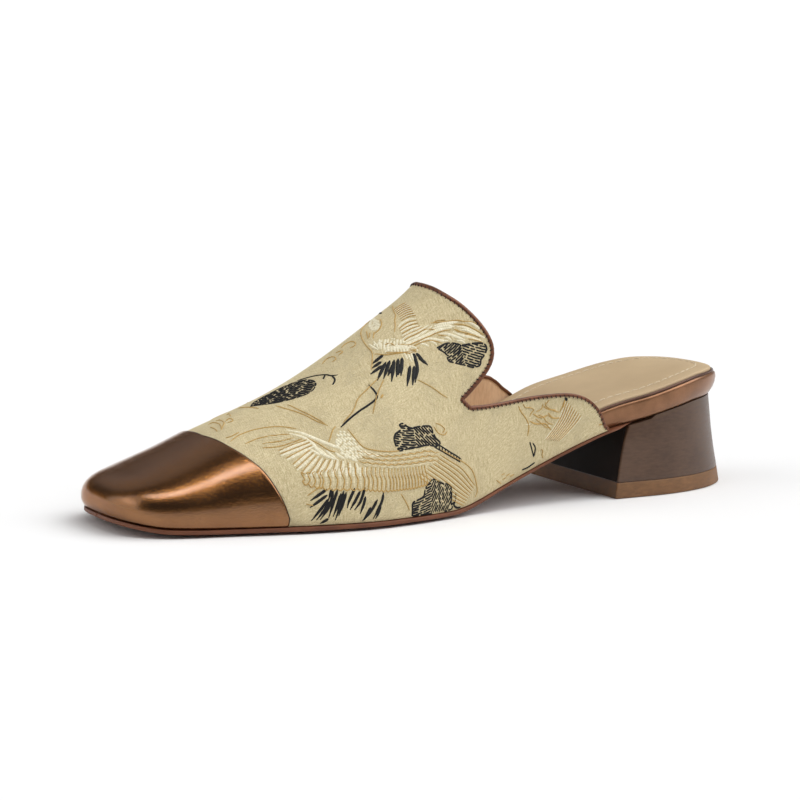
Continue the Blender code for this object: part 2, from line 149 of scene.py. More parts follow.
lift_low, lift_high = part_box("top_lift")
MOVE = np.array([
    lift_high[0] / MM - HEEL.columns["breast"][0],
    (lift_low[1] + lift_high[1]) / 2 / MM,
    0.0,
])


def smoothstep(t):
    t = np.clip(t, 0.0, 1.0)
    return t * t * (3 - 2 * t)


def unit(v):
    return v / np.maximum(np.linalg.norm(v, axis=-1, keepdims=True), 1e-9)


def seat(x):
    return SEAT("height", x)


def cap_edge(u):
    return CAP("x", np.minimum(np.abs(u), 1.0))


def half_width(x, lateral, grow=0.0, grow_heel=0.0, grow_toe=0.0):
    """Half width of the plan outline, moved out by grow on the flank and by its own sizes at the ends."""
    x = np.asarray(x, float)
    base = np.where(lateral, PLAN("lateral", x), PLAN("medial", x))
    toe = np.clip((x - TOE_X) / (LENGTH + grow_toe - TOE_X), 0.0, 1.0)
    heel = np.clip((HEEL_X - x) / (HEEL_X + grow_heel), 0.0, 1.0)
    round_toe = (1.0 - toe ** TOE_POWER) ** (1.0 / TOE_POWER)
    round_heel = (1.0 - heel ** HEEL_POWER) ** (1.0 / HEEL_POWER)
    return (base + grow) * round_toe * round_heel


def upper_point(x, u):
    """Outside of the upper: u is 0 on the ridge, +1 and -1 on the widest lines, and past them on the roll."""
    x, u = np.broadcast_arrays(np.asarray(x, float), np.asarray(u, float))
    roll = ROLL("height", x)
    nose = np.clip((x - NOSE_X) / (LENGTH - NOSE_X), 0.0, 1.0)
    ridge = SECTION("ridge", x) - roll
    ridge = ridge * np.sqrt(np.maximum(1.0 - nose ** NOSE_POWER, 0.0))
    turn = np.minimum(np.abs(u), 1.0) * np.pi / 2
    over = np.clip((np.abs(u) - 1.0) / (U_END - 1.0), 0.0, 1.0)
    pull = ROLL("tuck", x) * over ** 2
    share = np.clip((x - TOE_X) / (LENGTH - TOE_X), 0.0, 1.0)
    x_in = x - pull * share
    width = half_width(x_in, u >= 0, -pull, 0.0, -pull)
    y = np.sign(u) * width * np.sin(turn) ** (2.0 / SECTION("flank", x))
    lift = np.maximum(np.cos(turn), 0.0) ** (2.0 / SECTION("crown", x))
    lift = np.where(np.abs(u) >= 1.0, 0.0, lift)
    z = seat(x) + roll * (1.0 - over) + ridge * lift
    return np.stack([x_in, y, z], -1)


# The cloth's own flat measures
STATIONS = np.arange(60.0, 250.0, 1.0)
SPREAD = np.linspace(U_END, -U_END, 561)


def arc_lengths():
    x, u = np.meshgrid(STATIONS, SPREAD, indexing="ij")
    step = np.linalg.norm(np.diff(upper_point(x, u), axis=1), axis=2)
    return np.hstack([np.zeros((len(STATIONS), 1)), np.cumsum(step, axis=1)])


ARC = arc_lengths()


def between_stations(x, read):
    """Reads the two stations next to each x and mixes them."""
    place = np.clip(np.asarray(x, float) - STATIONS[0], 0.0, len(STATIONS) - 1.001)
    left = place.astype(int)
    part = place - left
    low = np.array([read(i, n) for n, i in enumerate(left)])
    high = np.array([read(i + 1, n) for n, i in enumerate(left)])
    return low * (1 - part) + high * part


def chart_u(x, s, side):
    """Section parameter s millimetres of cloth up from the outer lower edge, or from the inner one."""
    def read(i, n):
        far = s[n] if side > 0 else ARC[i, -1] - s[n]
        return np.interp(far, ARC[i], SPREAD)
    return between_stations(x, read)


def cloth_across(x, u):
    """Millimetres of cloth from the ridge, positive on the outer side."""
    middle = len(SPREAD) // 2
    return between_stations(x, lambda i, n: ARC[i, middle] - np.interp(-u[n], -SPREAD, ARC[i]))


def outward(x, u):
    """Unit normals of the upper."""
    along = upper_point(x + 0.2, u) - upper_point(x - 0.2, u)
    across = upper_point(x, u + 0.004) - upper_point(x, u - 0.004)
    return unit(np.cross(along, across))


# Meshes
def lengths(path):
    """Distances along a line of points, from its start."""
    return np.concatenate([[0.0], np.cumsum(np.linalg.norm(np.diff(path, axis=0), axis=1))])


def along_line(path, places):
    """Points at the given distances along a line."""
    far = lengths(path)
    return np.stack([np.interp(places, far, axis) for axis in path.T], -1)


def both_sides(half):
    """Section parameters of the whole shoe, from those of the outer side counted from the ridge."""
    return np.concatenate([half[::-1], -half[1:]])


EVEN_AT = 185.0


def even_u(count, end):
    """Section parameters at even steps of arc from the ridge to the lower edge."""
    u = np.linspace(0.0, end, 600)
    far = lengths(upper_point(np.full_like(u, EVEN_AT), u))
    return np.interp(np.linspace(0.0, far[-1], count), far, u)


def toe_steps(rows):
    turn = np.linspace(0.0, 1.0, rows + 1)[1:] * np.radians(89.7)
    return TOE_X + (LENGTH - TOE_X) * np.sin(turn) ** (2.0 / TOE_POWER)


def rounded(points, step, first=None):
    """Points evenly spaced along a rounded line through the given ones."""
    points = np.asarray(points, float)
    if len(points) == 2:
        points = np.array([points[0], points.mean(axis=0), points[1]])
    before = 2 * points[0] - points[1] if first is None else first
    p = np.vstack([before, points, 2 * points[-1] - points[-2]])
    fine = []
    for i in range(1, len(p) - 2):
        for t in np.linspace(0.0, 1.0, 24, endpoint=False):
            a = 2 * p[i] + (p[i + 1] - p[i - 1]) * t
            b = (2 * p[i - 1] - 5 * p[i] + 4 * p[i + 1] - p[i + 2]) * t ** 2
            c = (3 * p[i] - p[i - 1] - 3 * p[i + 1] + p[i + 2]) * t ** 3
            fine.append(0.5 * (a + b + c))
    fine.append(points[-1])
    fine = np.array(fine)
    whole = lengths(fine)[-1]
    count = max(3, int(round(whole / step)) + 1)
    return along_line(fine, np.linspace(0.0, whole, count))


COLLAR_SCALE = 75.0  # millimetres of wall for a whole u, near the collar


def collar_line(count):
    """Whole collar as (u, x), from the outer quarter's end over the tongue to the inner quarter's end."""
    scale = np.array([COLLAR_SCALE, 1.0])
    rows = np.array(COLLAR_ROWS, float) * scale
    half = rounded(rows, 0.05, first=rows[1] * np.array([-1.0, 1.0]))
    pick = np.linspace(0, len(half) - 1, count + 1)
    index = np.arange(len(half))
    half = np.stack([np.interp(pick, index, axis) for axis in half.T], -1) / scale
    u = both_sides(half[:, 0])
    x = np.concatenate([half[::-1, 1], half[1:, 1]])
    return u, x + np.where(u < 0, INNER_COLLAR("ahead", np.abs(u)), 0.0)


def upper_grid(lines, long_rows, toe_rows):
    u_top, start = collar_line(lines)
    u_low = both_sides(even_u(lines + 1, U_END))
    share = np.linspace(0.0, 1.0, long_rows + 1)
    x = start[:, None] + (TOE_X - start[:, None]) * share[None, :]
    mix = smoothstep(share / 0.7)
    u = u_top[:, None] * (1 - mix) + u_low[:, None] * mix
    toe = np.tile(toe_steps(toe_rows), (len(start), 1))
    return np.hstack([x, toe]), np.hstack([u, np.tile(u_low[:, None], (1, toe_rows))])


def grid_normals(points):
    """Outward directions of a grid whose two long edges stay level."""
    n = unit(np.cross(np.gradient(points, axis=1), np.gradient(points, axis=0)))
    if n[len(points) // 2, 0, 2] < 0:
        n = -n
    for row in (0, -1):
        n[row, :, 2] = 0.0
        n[row] = unit(n[row])
    return n


def shell(outer, inner):
    """Closed wall between two grids that meet round the toe."""
    lines, rows = outer.shape[:2]
    inside = lines * rows
    i, k = np.meshgrid(np.arange(lines - 1), np.arange(rows - 1), indexing="ij")
    a = (i * rows + k).ravel()
    quads = np.stack([a, a + rows, a + rows + 1, a + 1], -1)
    faces = np.vstack([quads, quads[:, ::-1] + inside]).tolist()
    end = rows - 1
    for start, turn in ((0, 1), (inside, -1)):
        for i in range(lines // 2 - 1):
            j = lines - 1 - i
            faces.append([start + m * rows + end for m in (i, i + 1, j - 1, j)][::turn])
        tip = lines // 2
        faces.append([start + m * rows + end for m in (tip - 1, tip, tip + 1)][::turn])
    for i in range(lines - 1):
        faces.append([(i + 1) * rows, i * rows, inside + i * rows, inside + (i + 1) * rows])
    for i, turn in ((0, 1), (lines - 1, -1)):
        for k in range(rows - 1):
            a = i * rows + k
            faces.append([a, a + 1, inside + a + 1, inside + a][::turn])
    last = (lines - 1) * rows + end
    faces.append([end, last, inside + last, inside + end])
    return np.concatenate([outer.reshape(-1, 3), inner.reshape(-1, 3)]), faces


def tube(rings):
    """Closed solid through rings of the same number of points."""
    rings = np.asarray(rings, float)
    count, size = rings.shape[:2]
    i, k = np.meshgrid(np.arange(count - 1), np.arange(size), indexing="ij")
    j = (k + 1) % size
    quads = np.stack([i * size + k, i * size + j, (i + 1) * size + j, (i + 1) * size + k], -1)
    faces = quads.reshape(-1, 4).tolist()
    faces.append(list(range(size)))
    faces.append([(count - 1) * size + k for k in reversed(range(size))])
    return rings.reshape(-1, 3), faces


def slab(levels):
    """Closed solid from levels that each hold (x, left half, right half, z) at the same stations."""
    left = [np.stack([lv[0], lv[1], lv[3]], -1) for lv in levels]
    right = [np.stack([lv[0], -lv[2], lv[3]], -1) for lv in reversed(levels)]
    return tube(np.stack(left + right, 1))


class Bag:
    """Several closed solids gathered into one piece."""

    def __init__(self):
        self.verts, self.faces, self.flat, self.count = [], [], [], 0

    def add(self, solid, flat=None):
        verts, faces = solid
        self.verts.append(verts)
        self.faces.extend([[v + self.count for v in face] for face in faces])
        self.flat.append(np.zeros((len(verts), 2)) if flat is None else flat)
        self.count += len(verts)

    def solid(self):
        return np.concatenate(self.verts), self.faces


def piece(name, solid, look, node=None, flat=None, sharp=50.0):
    """Makes one named piece of the slipper; flat gives each vertex its place on the cloth."""
    verts, faces = solid
    mesh = bpy.data.meshes.new(name)
    mesh.from_pydata(((np.asarray(verts) + MOVE) * MM).tolist(), [], faces)
    work = bmesh.new()
    work.from_mesh(mesh)
    bmesh.ops.recalc_face_normals(work, faces=work.faces)
    bmesh.ops.triangulate(work, faces=[f for f in work.faces if len(f.verts) > 4])
    work.to_mesh(mesh)
    work.free()
    mesh.polygons.foreach_set("use_smooth", [True] * len(mesh.polygons))
    mesh.set_sharp_from_angle(angle=np.radians(sharp))
    if flat is not None:
        corner = np.zeros(len(mesh.loops), int)
        mesh.loops.foreach_get("vertex_index", corner)
        layer_uv = mesh.uv_layers.new(name="cloth")
        layer_uv.data.foreach_set("uv", np.asarray(flat, np.float32)[corner].ravel())
    mesh.materials.append(look)
    obj = bpy.data.objects.new(name, mesh)
    bpy.context.scene.collection.objects.link(obj)
    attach(obj, "root")
    if node:
        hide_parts(node)
    return obj


# Materials
def rgb(r, g, b):
    """Linear colour from display values of 0 to 255."""
    c = np.array([r, g, b]) / 255.0
    c = np.where(c <= 0.04045, c / 12.92, ((c + 0.055) / 1.055) ** 2.4)
    return (*[float(v) for v in c], 1.0)


WEAR = 0.06  # how far the roughness of leather and rubber goes up and down
WAVE_SCALE = 2 * np.pi / 20.0  # a wave texture of this scale has one band a unit


class Look:
    """A procedural material, written as calls that return sockets."""

    def __init__(self, name, **fixed):
        self.material = bpy.data.materials.new(name)
        self.material.use_nodes = True
        self.tree = self.material.node_tree
        self.shader = self.tree.nodes["Principled BSDF"]
        for key, value in fixed.items():
            self.shader.inputs[key.replace("_", " ")].default_value = value

    def node(self, kind, inputs, out=0, **settings):
        made = self.tree.nodes.new("ShaderNode" + kind)
        for key, value in settings.items():
            setattr(made, key, value)
        for key, value in inputs.items():
            if isinstance(value, bpy.types.NodeSocket):
                self.tree.links.new(value, made.inputs[key])
            else:
                made.inputs[key].default_value = value
        return made.outputs[out]

    def place(self):
        """Millimetres in the part's own frame."""
        spot = self.node("TexCoord", {}, "Object")
        return self.node("VectorMath", {0: spot, "Scale": 1 / MM}, operation="SCALE")

    def cloth(self):
        return self.node("UVMap", {}, uv_map="cloth")

    def turned(self, vector, degrees=0.0, scale=(1.0, 1.0, 1.0)):
        turn = (0.0, 0.0, np.radians(degrees))
        return self.node("Mapping", {"Vector": vector, "Rotation": turn, "Scale": scale})

    def noise(self, vector, size, detail=2.0, rough=0.5, swirl=0.0):
        """Cloudy value from 0 to 1; size is in millimetres."""
        inputs = {"Vector": vector, "Scale": 1.0 / size, "Detail": detail}
        return self.node("TexNoise", {**inputs, "Roughness": rough, "Distortion": swirl})

    def cells(self, vector, size):
        return self.node("TexVoronoi", {"Vector": vector, "Scale": 1.0 / size}, feature="SMOOTH_F1")

    def ribs(self, vector, pitch, swirl):
        """Parallel ribs; pitch is in millimetres."""
        inputs = {"Vector": vector, "Scale": WAVE_SCALE / pitch, "Distortion": swirl}
        return self.node("TexWave", {**inputs, "Detail": 1.0, "Detail Scale": 1.0}, "Fac")

    def ramp(self, fac, *stops):
        made = self.tree.nodes.new("ShaderNodeValToRGB")
        self.tree.links.new(fac, made.inputs[0])
        points = made.color_ramp.elements
        while len(points) < len(stops):
            points.new(0.5)
        for point, (place, value) in zip(points, stops):
            point.position = place
            point.color = value if isinstance(value, tuple) else (value, value, value, 1.0)
        return made.outputs[0]

    def mix(self, fac, a, b):
        return self.node("MixRGB", {0: fac, 1: a, 2: b})

    def times(self, a, b):
        return self.node("Math", {0: a, 1: b}, operation="MULTIPLY")

    def sum(self, *parts):
        """Adds (socket, weight) pairs."""
        total = None
        for socket, weight in parts:
            part = self.times(socket, weight)
            total = part if total is None else self.node("Math", {0: total, 1: part}, operation="ADD")
        return total

    def bump(self, height, relief):
        """Relief is in millimetres."""
        made = self.node("Bump", {"Height": height, "Strength": 1.0, "Distance": relief * MM})
        self.tree.links.new(made, self.shader.inputs["Normal"])

    def set(self, name, socket):
        self.tree.links.new(socket, self.shader.inputs[name])


def brocade_look():
    """Satin ground: short weft floats, fine twill, and clouds where the threads run aslant or curl."""
    look = Look("brocade", Sheen_Weight=0.12, Sheen_Roughness=0.45, Specular_IOR_Level=0.3)
    look.shader.inputs["Sheen Tint"].default_value = rgb(255, 244, 214)
    flat = look.cloth()
    speck = look.noise(flat, 0.50, 2.0, 0.6)
    floats = look.noise(look.turned(flat, 0.0, (0.34, 1.0, 1.0)), 0.62, 2.0, 0.55)
    aslant = look.noise(look.turned(flat, 52.0, (1.0, 0.24, 1.0)), 0.66, 3.0, 0.6)
    curls = look.ramp(look.noise(flat, 2.6, 2.0, 0.5, 2.2), (0.42, 0.0), (0.48, 1.0), (0.54, 0.0))
    cloud = look.ramp(look.noise(flat, 15.0, 3.0, 0.55, 0.8), (0.48, 0.0), (0.56, 1.0))
    wave = look.ramp(look.noise(look.turned(flat, 20.0), 17.0, 3.0, 0.55, 0.6), (0.48, 0.0), (0.56, 1.0))
    dark, middle, light = rgb(182, 165, 124), rgb(205, 189, 148), rgb(226, 213, 175)
    plain = look.ramp(look.sum((speck, 0.55), (floats, 0.45)), (0.34, dark), (0.50, middle), (0.66, light))
    shaded = look.sum((aslant, 0.65), (speck, 0.35))
    lines = look.ramp(shaded, (0.36, rgb(172, 153, 110)), (0.50, middle), (0.64, light))
    curly = look.mix(curls, rgb(200, 184, 143), rgb(224, 210, 171))
    ground = look.mix(look.times(cloud, 0.7), plain, lines)
    look.set("Base Color", look.mix(look.times(wave, 0.5), ground, curly))
    look.set("Roughness", look.ramp(cloud, (0.0, 0.52), (1.0, 0.64)))
    twill = look.ribs(look.turned(flat, 38.0), 0.62, 0.4)
    patches = ((look.times(aslant, cloud), 0.8), (look.times(curls, wave), 0.6))
    look.bump(look.sum((twill, 0.35), (speck, 0.7), (floats, 0.5), *patches), 0.2)
    return look.material


def thread_look(name, dark, light, rough, sheen):
    """Raised floats of one colour, ribbed across by the ties that hold them."""
    look = Look(name, Roughness=rough, Sheen_Weight=sheen, Sheen_Roughness=0.35, Specular_IOR_Level=0.3)
    flat = look.cloth()
    tone = look.noise(flat, 0.55, 3.0, 0.6)
    look.set("Base Color", look.ramp(tone, (0.32, dark), (0.68, light)))
    ties = look.ribs(look.turned(flat, 38.0), 0.50, 0.5)
    look.bump(look.sum((ties, 0.6), (tone, 0.5)), 0.07)
    return look.material


def bronze_look():
    """Foiled leather: a metal ground with fine pores under a clear finish."""
    look = Look("bronze_leather", Metallic=1.0, Coat_Weight=0.7, Coat_Roughness=0.15, Coat_IOR=1.6)
    look.shader.inputs["Specular Tint"].default_value = rgb(226, 184, 150)
    spot = look.place()
    pore = look.noise(spot, 0.55, 3.0, 0.65)
    pebble = look.cells(spot, 1.2)
    slow = look.noise(spot, 12.0, 3.0, 0.55)
    tone = look.sum((slow, 0.5), (pore, 0.5))
    look.set("Base Color", look.ramp(tone, (0.36, rgb(124, 80, 40)), (0.64, rgb(141, 95, 52))))
    look.set("Roughness", look.ramp(look.sum((pore, 0.7), (slow, 0.3)), (0.3, 0.14), (0.7, 0.22)))
    look.bump(look.sum((pebble, 0.4), (pore, 0.9)), 0.1)
    return look.material


def leather_look(name, dark, light, rough, grain, relief, metal=0.0, coat=0.0, spread=9.0):
    """Grained leather: cell creases, pores, and a slow change of tone."""
    look = Look(name, Metallic=metal, Coat_Weight=coat, Coat_Roughness=0.2, Specular_IOR_Level=0.35)
    spot = look.place()
    pebble = look.cells(spot, grain)
    pore = look.noise(spot, grain * 0.45, 3.0, 0.6)
    slow = look.noise(spot, spread, 3.0, 0.55)
    tone = look.sum((slow, 0.7), (pore, 0.3))
    look.set("Base Color", look.ramp(tone, (0.34, dark), (0.66, light)))
    worn = look.sum((pore, 0.6), (slow, 0.4))
    look.set("Roughness", look.ramp(worn, (0.3, rough - WEAR), (0.7, rough + WEAR)))
    look.bump(look.sum((pebble, 0.7), (pore, 0.6)), relief)
    return look.material


def streaked_look(name, dark, light, rough, relief, stretch, coat=0.0, gloss=0.35):
    """Smooth covering with fine drawn streaks; stretch gives the streaks' direction."""
    look = Look(name, Coat_Weight=coat, Coat_Roughness=0.25, Specular_IOR_Level=gloss)
    spot = look.place()
    drawn = look.noise(look.turned(spot, 0.0, stretch), 0.8, 3.0, 0.6)
    slow = look.noise(spot, 11.0, 2.0, 0.5)
    fine = look.noise(spot, 0.25, 2.0, 0.5)
    look.set("Base Color", look.ramp(look.sum((drawn, 0.55), (slow, 0.45)), (0.36, dark), (0.64, light)))
    look.set("Roughness", look.ramp(drawn, (0.3, rough - WEAR), (0.7, rough + WEAR)))
    look.bump(look.sum((drawn, 0.6), (fine, 0.5)), relief)
    return look.material


# The woven figures: points picked on the photograph, carried to the cloth through the fitted camera
# Places on the cloth are (x, s): s is millimetres of cloth up from the sole edge.
AREAS = {
    "high_leaf": ((155.2, 27.5), (154.2, 29.2), (152.2, 30.2), (151.5, 31.1), (152.0, 32.2), (150.5, 32.6),
                  (149.2, 31.4), (147.5, 30.7), (143.5, 30.8), (139.8, 30.4), (138.8, 28.2), (138.0, 26.2),
                  (136.2, 24.2), (138.2, 23.3), (142.0, 24.1), (147.5, 23.7), (151.2, 23.6), (153.5, 23.3),
                  (154.8, 24.9)),
    "low_leaf": ((149.8, 0.4), (149.8, 4.7), (148.0, 5.6), (145.0, 6.7), (144.0, 9.5), (142.0, 11.4),
                 (140.0, 12.1), (136.8, 10.5), (132.8, 9.3), (132.0, 7.2), (132.2, 3.3), (133.0, 0.4)),
    "ridge_leaf": ((189.0, 65.0), (186.0, 60.5), (183.0, 57.4), (178.0, 55.4), (174.0, 55.8), (171.2, 59.0),
                   (170.2, 63.0), (171.4, 68.0), (175.5, 72.0), (181.0, 72.0), (186.0, 69.5)),
    "tongue_leaf": ((130.8, 57.5), (127.2, 58.1), (124.0, 57.2), (121.0, 55.4), (117.8, 54.5), (113.2, 52.6),
                    (112.0, 50.4), (113.2, 48.5), (114.8, 47.6), (115.5, 45.9), (118.5, 46.4), (121.2, 48.2),
                    (125.5, 50.6), (127.5, 51.9), (128.0, 54.6)),
    "low_body": ((173.2, 33.4), (171.2, 31.5), (169.5, 28.5), (167.8, 26.0), (165.8, 23.7), (168.5, 22.2),
                 (171.8, 21.4), (173.8, 22.5), (175.2, 23.7), (175.8, 25.6), (176.8, 27.6), (177.0, 29.1),
                 (175.0, 32.2)),
    "high_body": ((149.8, 67.0), (148.4, 62.6), (146.8, 60.8), (144.5, 59.4), (141.2, 58.2), (139.0, 60.5),
                  (140.5, 63.4), (143.0, 66.0), (146.0, 67.4)),
    "high_head": ((141.0, 85.4), (142.2, 79.1), (143.2, 75.8), (145.0, 73.9), (146.0, 74.7), (145.8, 78.2),
                  (144.2, 82.7), (141.2, 88.0)),
}
LEAF_ROWS = (  # area, the stretch of x, the angle of its rows and how far they bow
    ("high_leaf", 146.6, 160.0, 3.0, 2.4), ("high_leaf", 130.0, 146.6, 50.0, 0.8),
    ("low_leaf", 141.4, 160.0, -20.0, 1.2), ("low_leaf", 130.0, 141.4, 118.0, 0.6),
    ("ridge_leaf", 160.0, 200.0, 58.0, 0.5),
    ("tongue_leaf", 121.5, 140.0, -30.0, 0.8), ("tongue_leaf", 100.0, 121.5, 38.0, 0.8),
)
WING_CLEAR = ("high_leaf", "low_leaf")

# white feathers of the lower bird's raised wing, root to tip
FINGERS = (
    ((184.5, 30.4), (190.0, 28.8), (195.3, 26.8)), ((184.0, 29.2), (189.5, 27.3), (195.5, 25.2)),
    ((183.8, 27.9), (188.5, 26.0), (194.0, 23.4)), ((184.6, 26.4), (188.2, 24.0), (192.4, 20.9)),
    ((184.0, 25.2), (187.4, 22.6), (191.8, 19.3)), ((183.4, 24.0), (186.5, 21.2), (190.0, 18.1)),
    ((182.4, 23.0), (184.8, 20.2), (187.8, 17.2)), ((180.8, 22.4), (182.8, 20.0), (185.2, 17.4)),
    ((179.0, 22.3), (180.4, 20.0), (182.2, 17.8)), ((177.2, 22.0), (178.2, 19.8), (179.4, 17.6)),
    ((175.4, 21.6), (176.0, 19.6), (176.8, 17.4)), ((173.2, 21.0), (173.5, 19.2), (173.9, 17.2)),
    ((171.0, 20.6), (171.0, 18.8), (171.1, 17.0)),
)
# Each group is (thread, style, width, lines).
LOW_BIRD = (
    ("cream", "plume", 1.15, (
        ((189.6, 36.9), (186.0, 34.4), (183.2, 31.7), (180.2, 29.2), (177.0, 27.1), (174.0, 25.7)),
        ((189.4, 34.9), (186.0, 32.2), (184.0, 29.4), (183.0, 26.3), (180.8, 23.9), (177.2, 22.1)))),
    ("cream", "plume", 0.95, (
        ((183.4, 27.6), (181.9, 25.8), (180.5, 23.8)), ((180.4, 26.1), (179.2, 24.2), (177.8, 22.6)),
        ((186.2, 27.5), (184.6, 26.0), (182.8, 24.4)), ((177.4, 24.8), (176.2, 23.4), (174.8, 22.4)),
        ((175.2, 24.6), (173.0, 22.8), (170.4, 21.2)), ((169.0, 25.0), (165.4, 23.0), (161.6, 22.2)))),
    ("pale", "line", 0.5, (
        ((196.5, 35.2), (193.2, 33.3), (190.5, 30.7)), ((199.0, 32.0), (195.2, 30.4), (191.8, 29.8)),
        ((200.2, 28.5), (196.0, 28.2), (191.5, 28.0)), ((194.8, 36.4), (191.8, 33.8), (188.5, 31.0)),
        ((194.5, 32.9), (191.0, 30.4), (188.2, 29.6)), ((200.4, 34.2), (196.0, 33.2), (192.4, 32.2)))),
    ("gold", "line", 0.42, (
        ((207.0, 36.5), (203.0, 39.6), (197.5, 41.0), (191.5, 39.8), (186.5, 36.6)),
        ((203.8, 33.0), (199.0, 34.8), (194.0, 35.0), (189.5, 34.4)),
        ((199.8, 29.4), (195.0, 29.2), (190.0, 30.4), (186.5, 31.6)),
        ((199.0, 31.6), (194.0, 31.6), (189.0, 32.4)),
        ((184.8, 31.4), (181.6, 28.2), (179.6, 26.0), (177.4, 25.0)),
        ((178.6, 28.8), (177.6, 30.4), (175.8, 33.4), (174.2, 35.0)),
        ((170.8, 33.1), (167.8, 26.6), (164.0, 24.6), (157.5, 23.4), (152.8, 23.4)),
        ((136.4, 22.0), (132.0, 19.6), (126.2, 15.9), (122.5, 12.2), (120.8, 8.1), (120.0, 3.7),
         (121.0, 1.7)))),
)
LOW_LOOSE = (
    ("black", "blade", 1.08, (
        ((182.8, 12.2), (188.9, 8.7)), ((182.8, 10.3), (189.2, 6.3)),
        ((182.2, 9.2), (186.0, 4.9), (188.7, 1.8)),
        ((181.0, 12.2), (182.4, 9.0)), ((181.8, 8.3), (184.5, 4.8), (186.9, 2.0)),
        ((180.5, 11.6), (182.5, 6.2), (185.6, 2.0)), ((179.0, 12.0), (181.2, 6.6), (182.6, 2.4)),
        ((177.9, 10.6), (179.6, 6.2), (181.0, 2.8)), ((176.8, 11.4), (178.5, 6.4), (180.2, 1.5)),
        ((176.0, 10.8), (177.6, 6.6), (179.0, 3.0)), ((172.8, 12.0), (175.2, 7.7), (175.9, 5.4)),
        ((170.8, 11.0), (173.0, 7.6), (174.9, 4.8)), ((169.0, 12.0), (171.0, 7.4), (173.3, 4.6)),
        ((169.0, 9.0), (169.8, 6.4), (171.2, 3.2)), ((162.0, 9.8), (162.8, 6.8), (165.0, 3.1), (166.2, 0.9)),
        ((164.5, 7.6), (166.8, 4.2), (169.6, 0.9)), ((167.2, 5.2), (168.8, 2.4), (170.1, 0.5)),
        ((163.2, 5.6), (164.2, 3.0), (165.2, 1.0)), ((182.6, 2.2), (185.4, 0.6)))),
    ("black", "line", 0.78, (
        ((172.8, 34.2), (169.0, 37.0), (164.6, 39.6), (159.4, 42.0), (157.2, 43.6), (157.0, 45.6),
         (158.0, 49.4)),
        ((130.0, 6.4), (130.2, 3.6), (130.8, 2.0), (129.2, 0.7), (127.4, 0.4)),
        ((130.6, 3.0), (132.2, 2.2)), ((130.1, 4.8), (131.4, 5.2)))),
    ("gold", "line", 0.4, (
        ((185.2, 55.5), (184.0, 49.4), (181.2, 42.6), (179.2, 38.5), (176.5, 35.6)),
        ((182.5, 52.7), (181.5, 46.6), (179.5, 41.3), (177.2, 36.7)),
        ((171.4, 36.0), (166.6, 40.2), (163.4, 44.6), (159.0, 47.8), (154.2, 51.0)),
        ((160.6, 37.6), (158.8, 41.0), (156.6, 44.8), (152.6, 50.0)),
        ((154.8, 8.6), (152.6, 5.4), (151.2, 2.6)), ((111.0, 3.4), (108.6, 1.0)),
        ((189.8, 10.4), (186.4, 12.4), (183.6, 13.2)), ((190.4, 7.6), (188.0, 7.0)))),
    ("gold", "plume", 0.8, (((156.0, 43.0), (154.8, 44.2)),)),
)
TWIG = ((138.6, 23.7), (135.8, 22.2), (132.8, 20.4), (129.5, 18.4), (126.8, 16.3))
HIGH_DOWN = (((133.2, 72.4), (135.4, 73.0), (138.0, 72.6)), ((132.8, 81.2), (134.8, 81.4), (136.8, 80.8)))
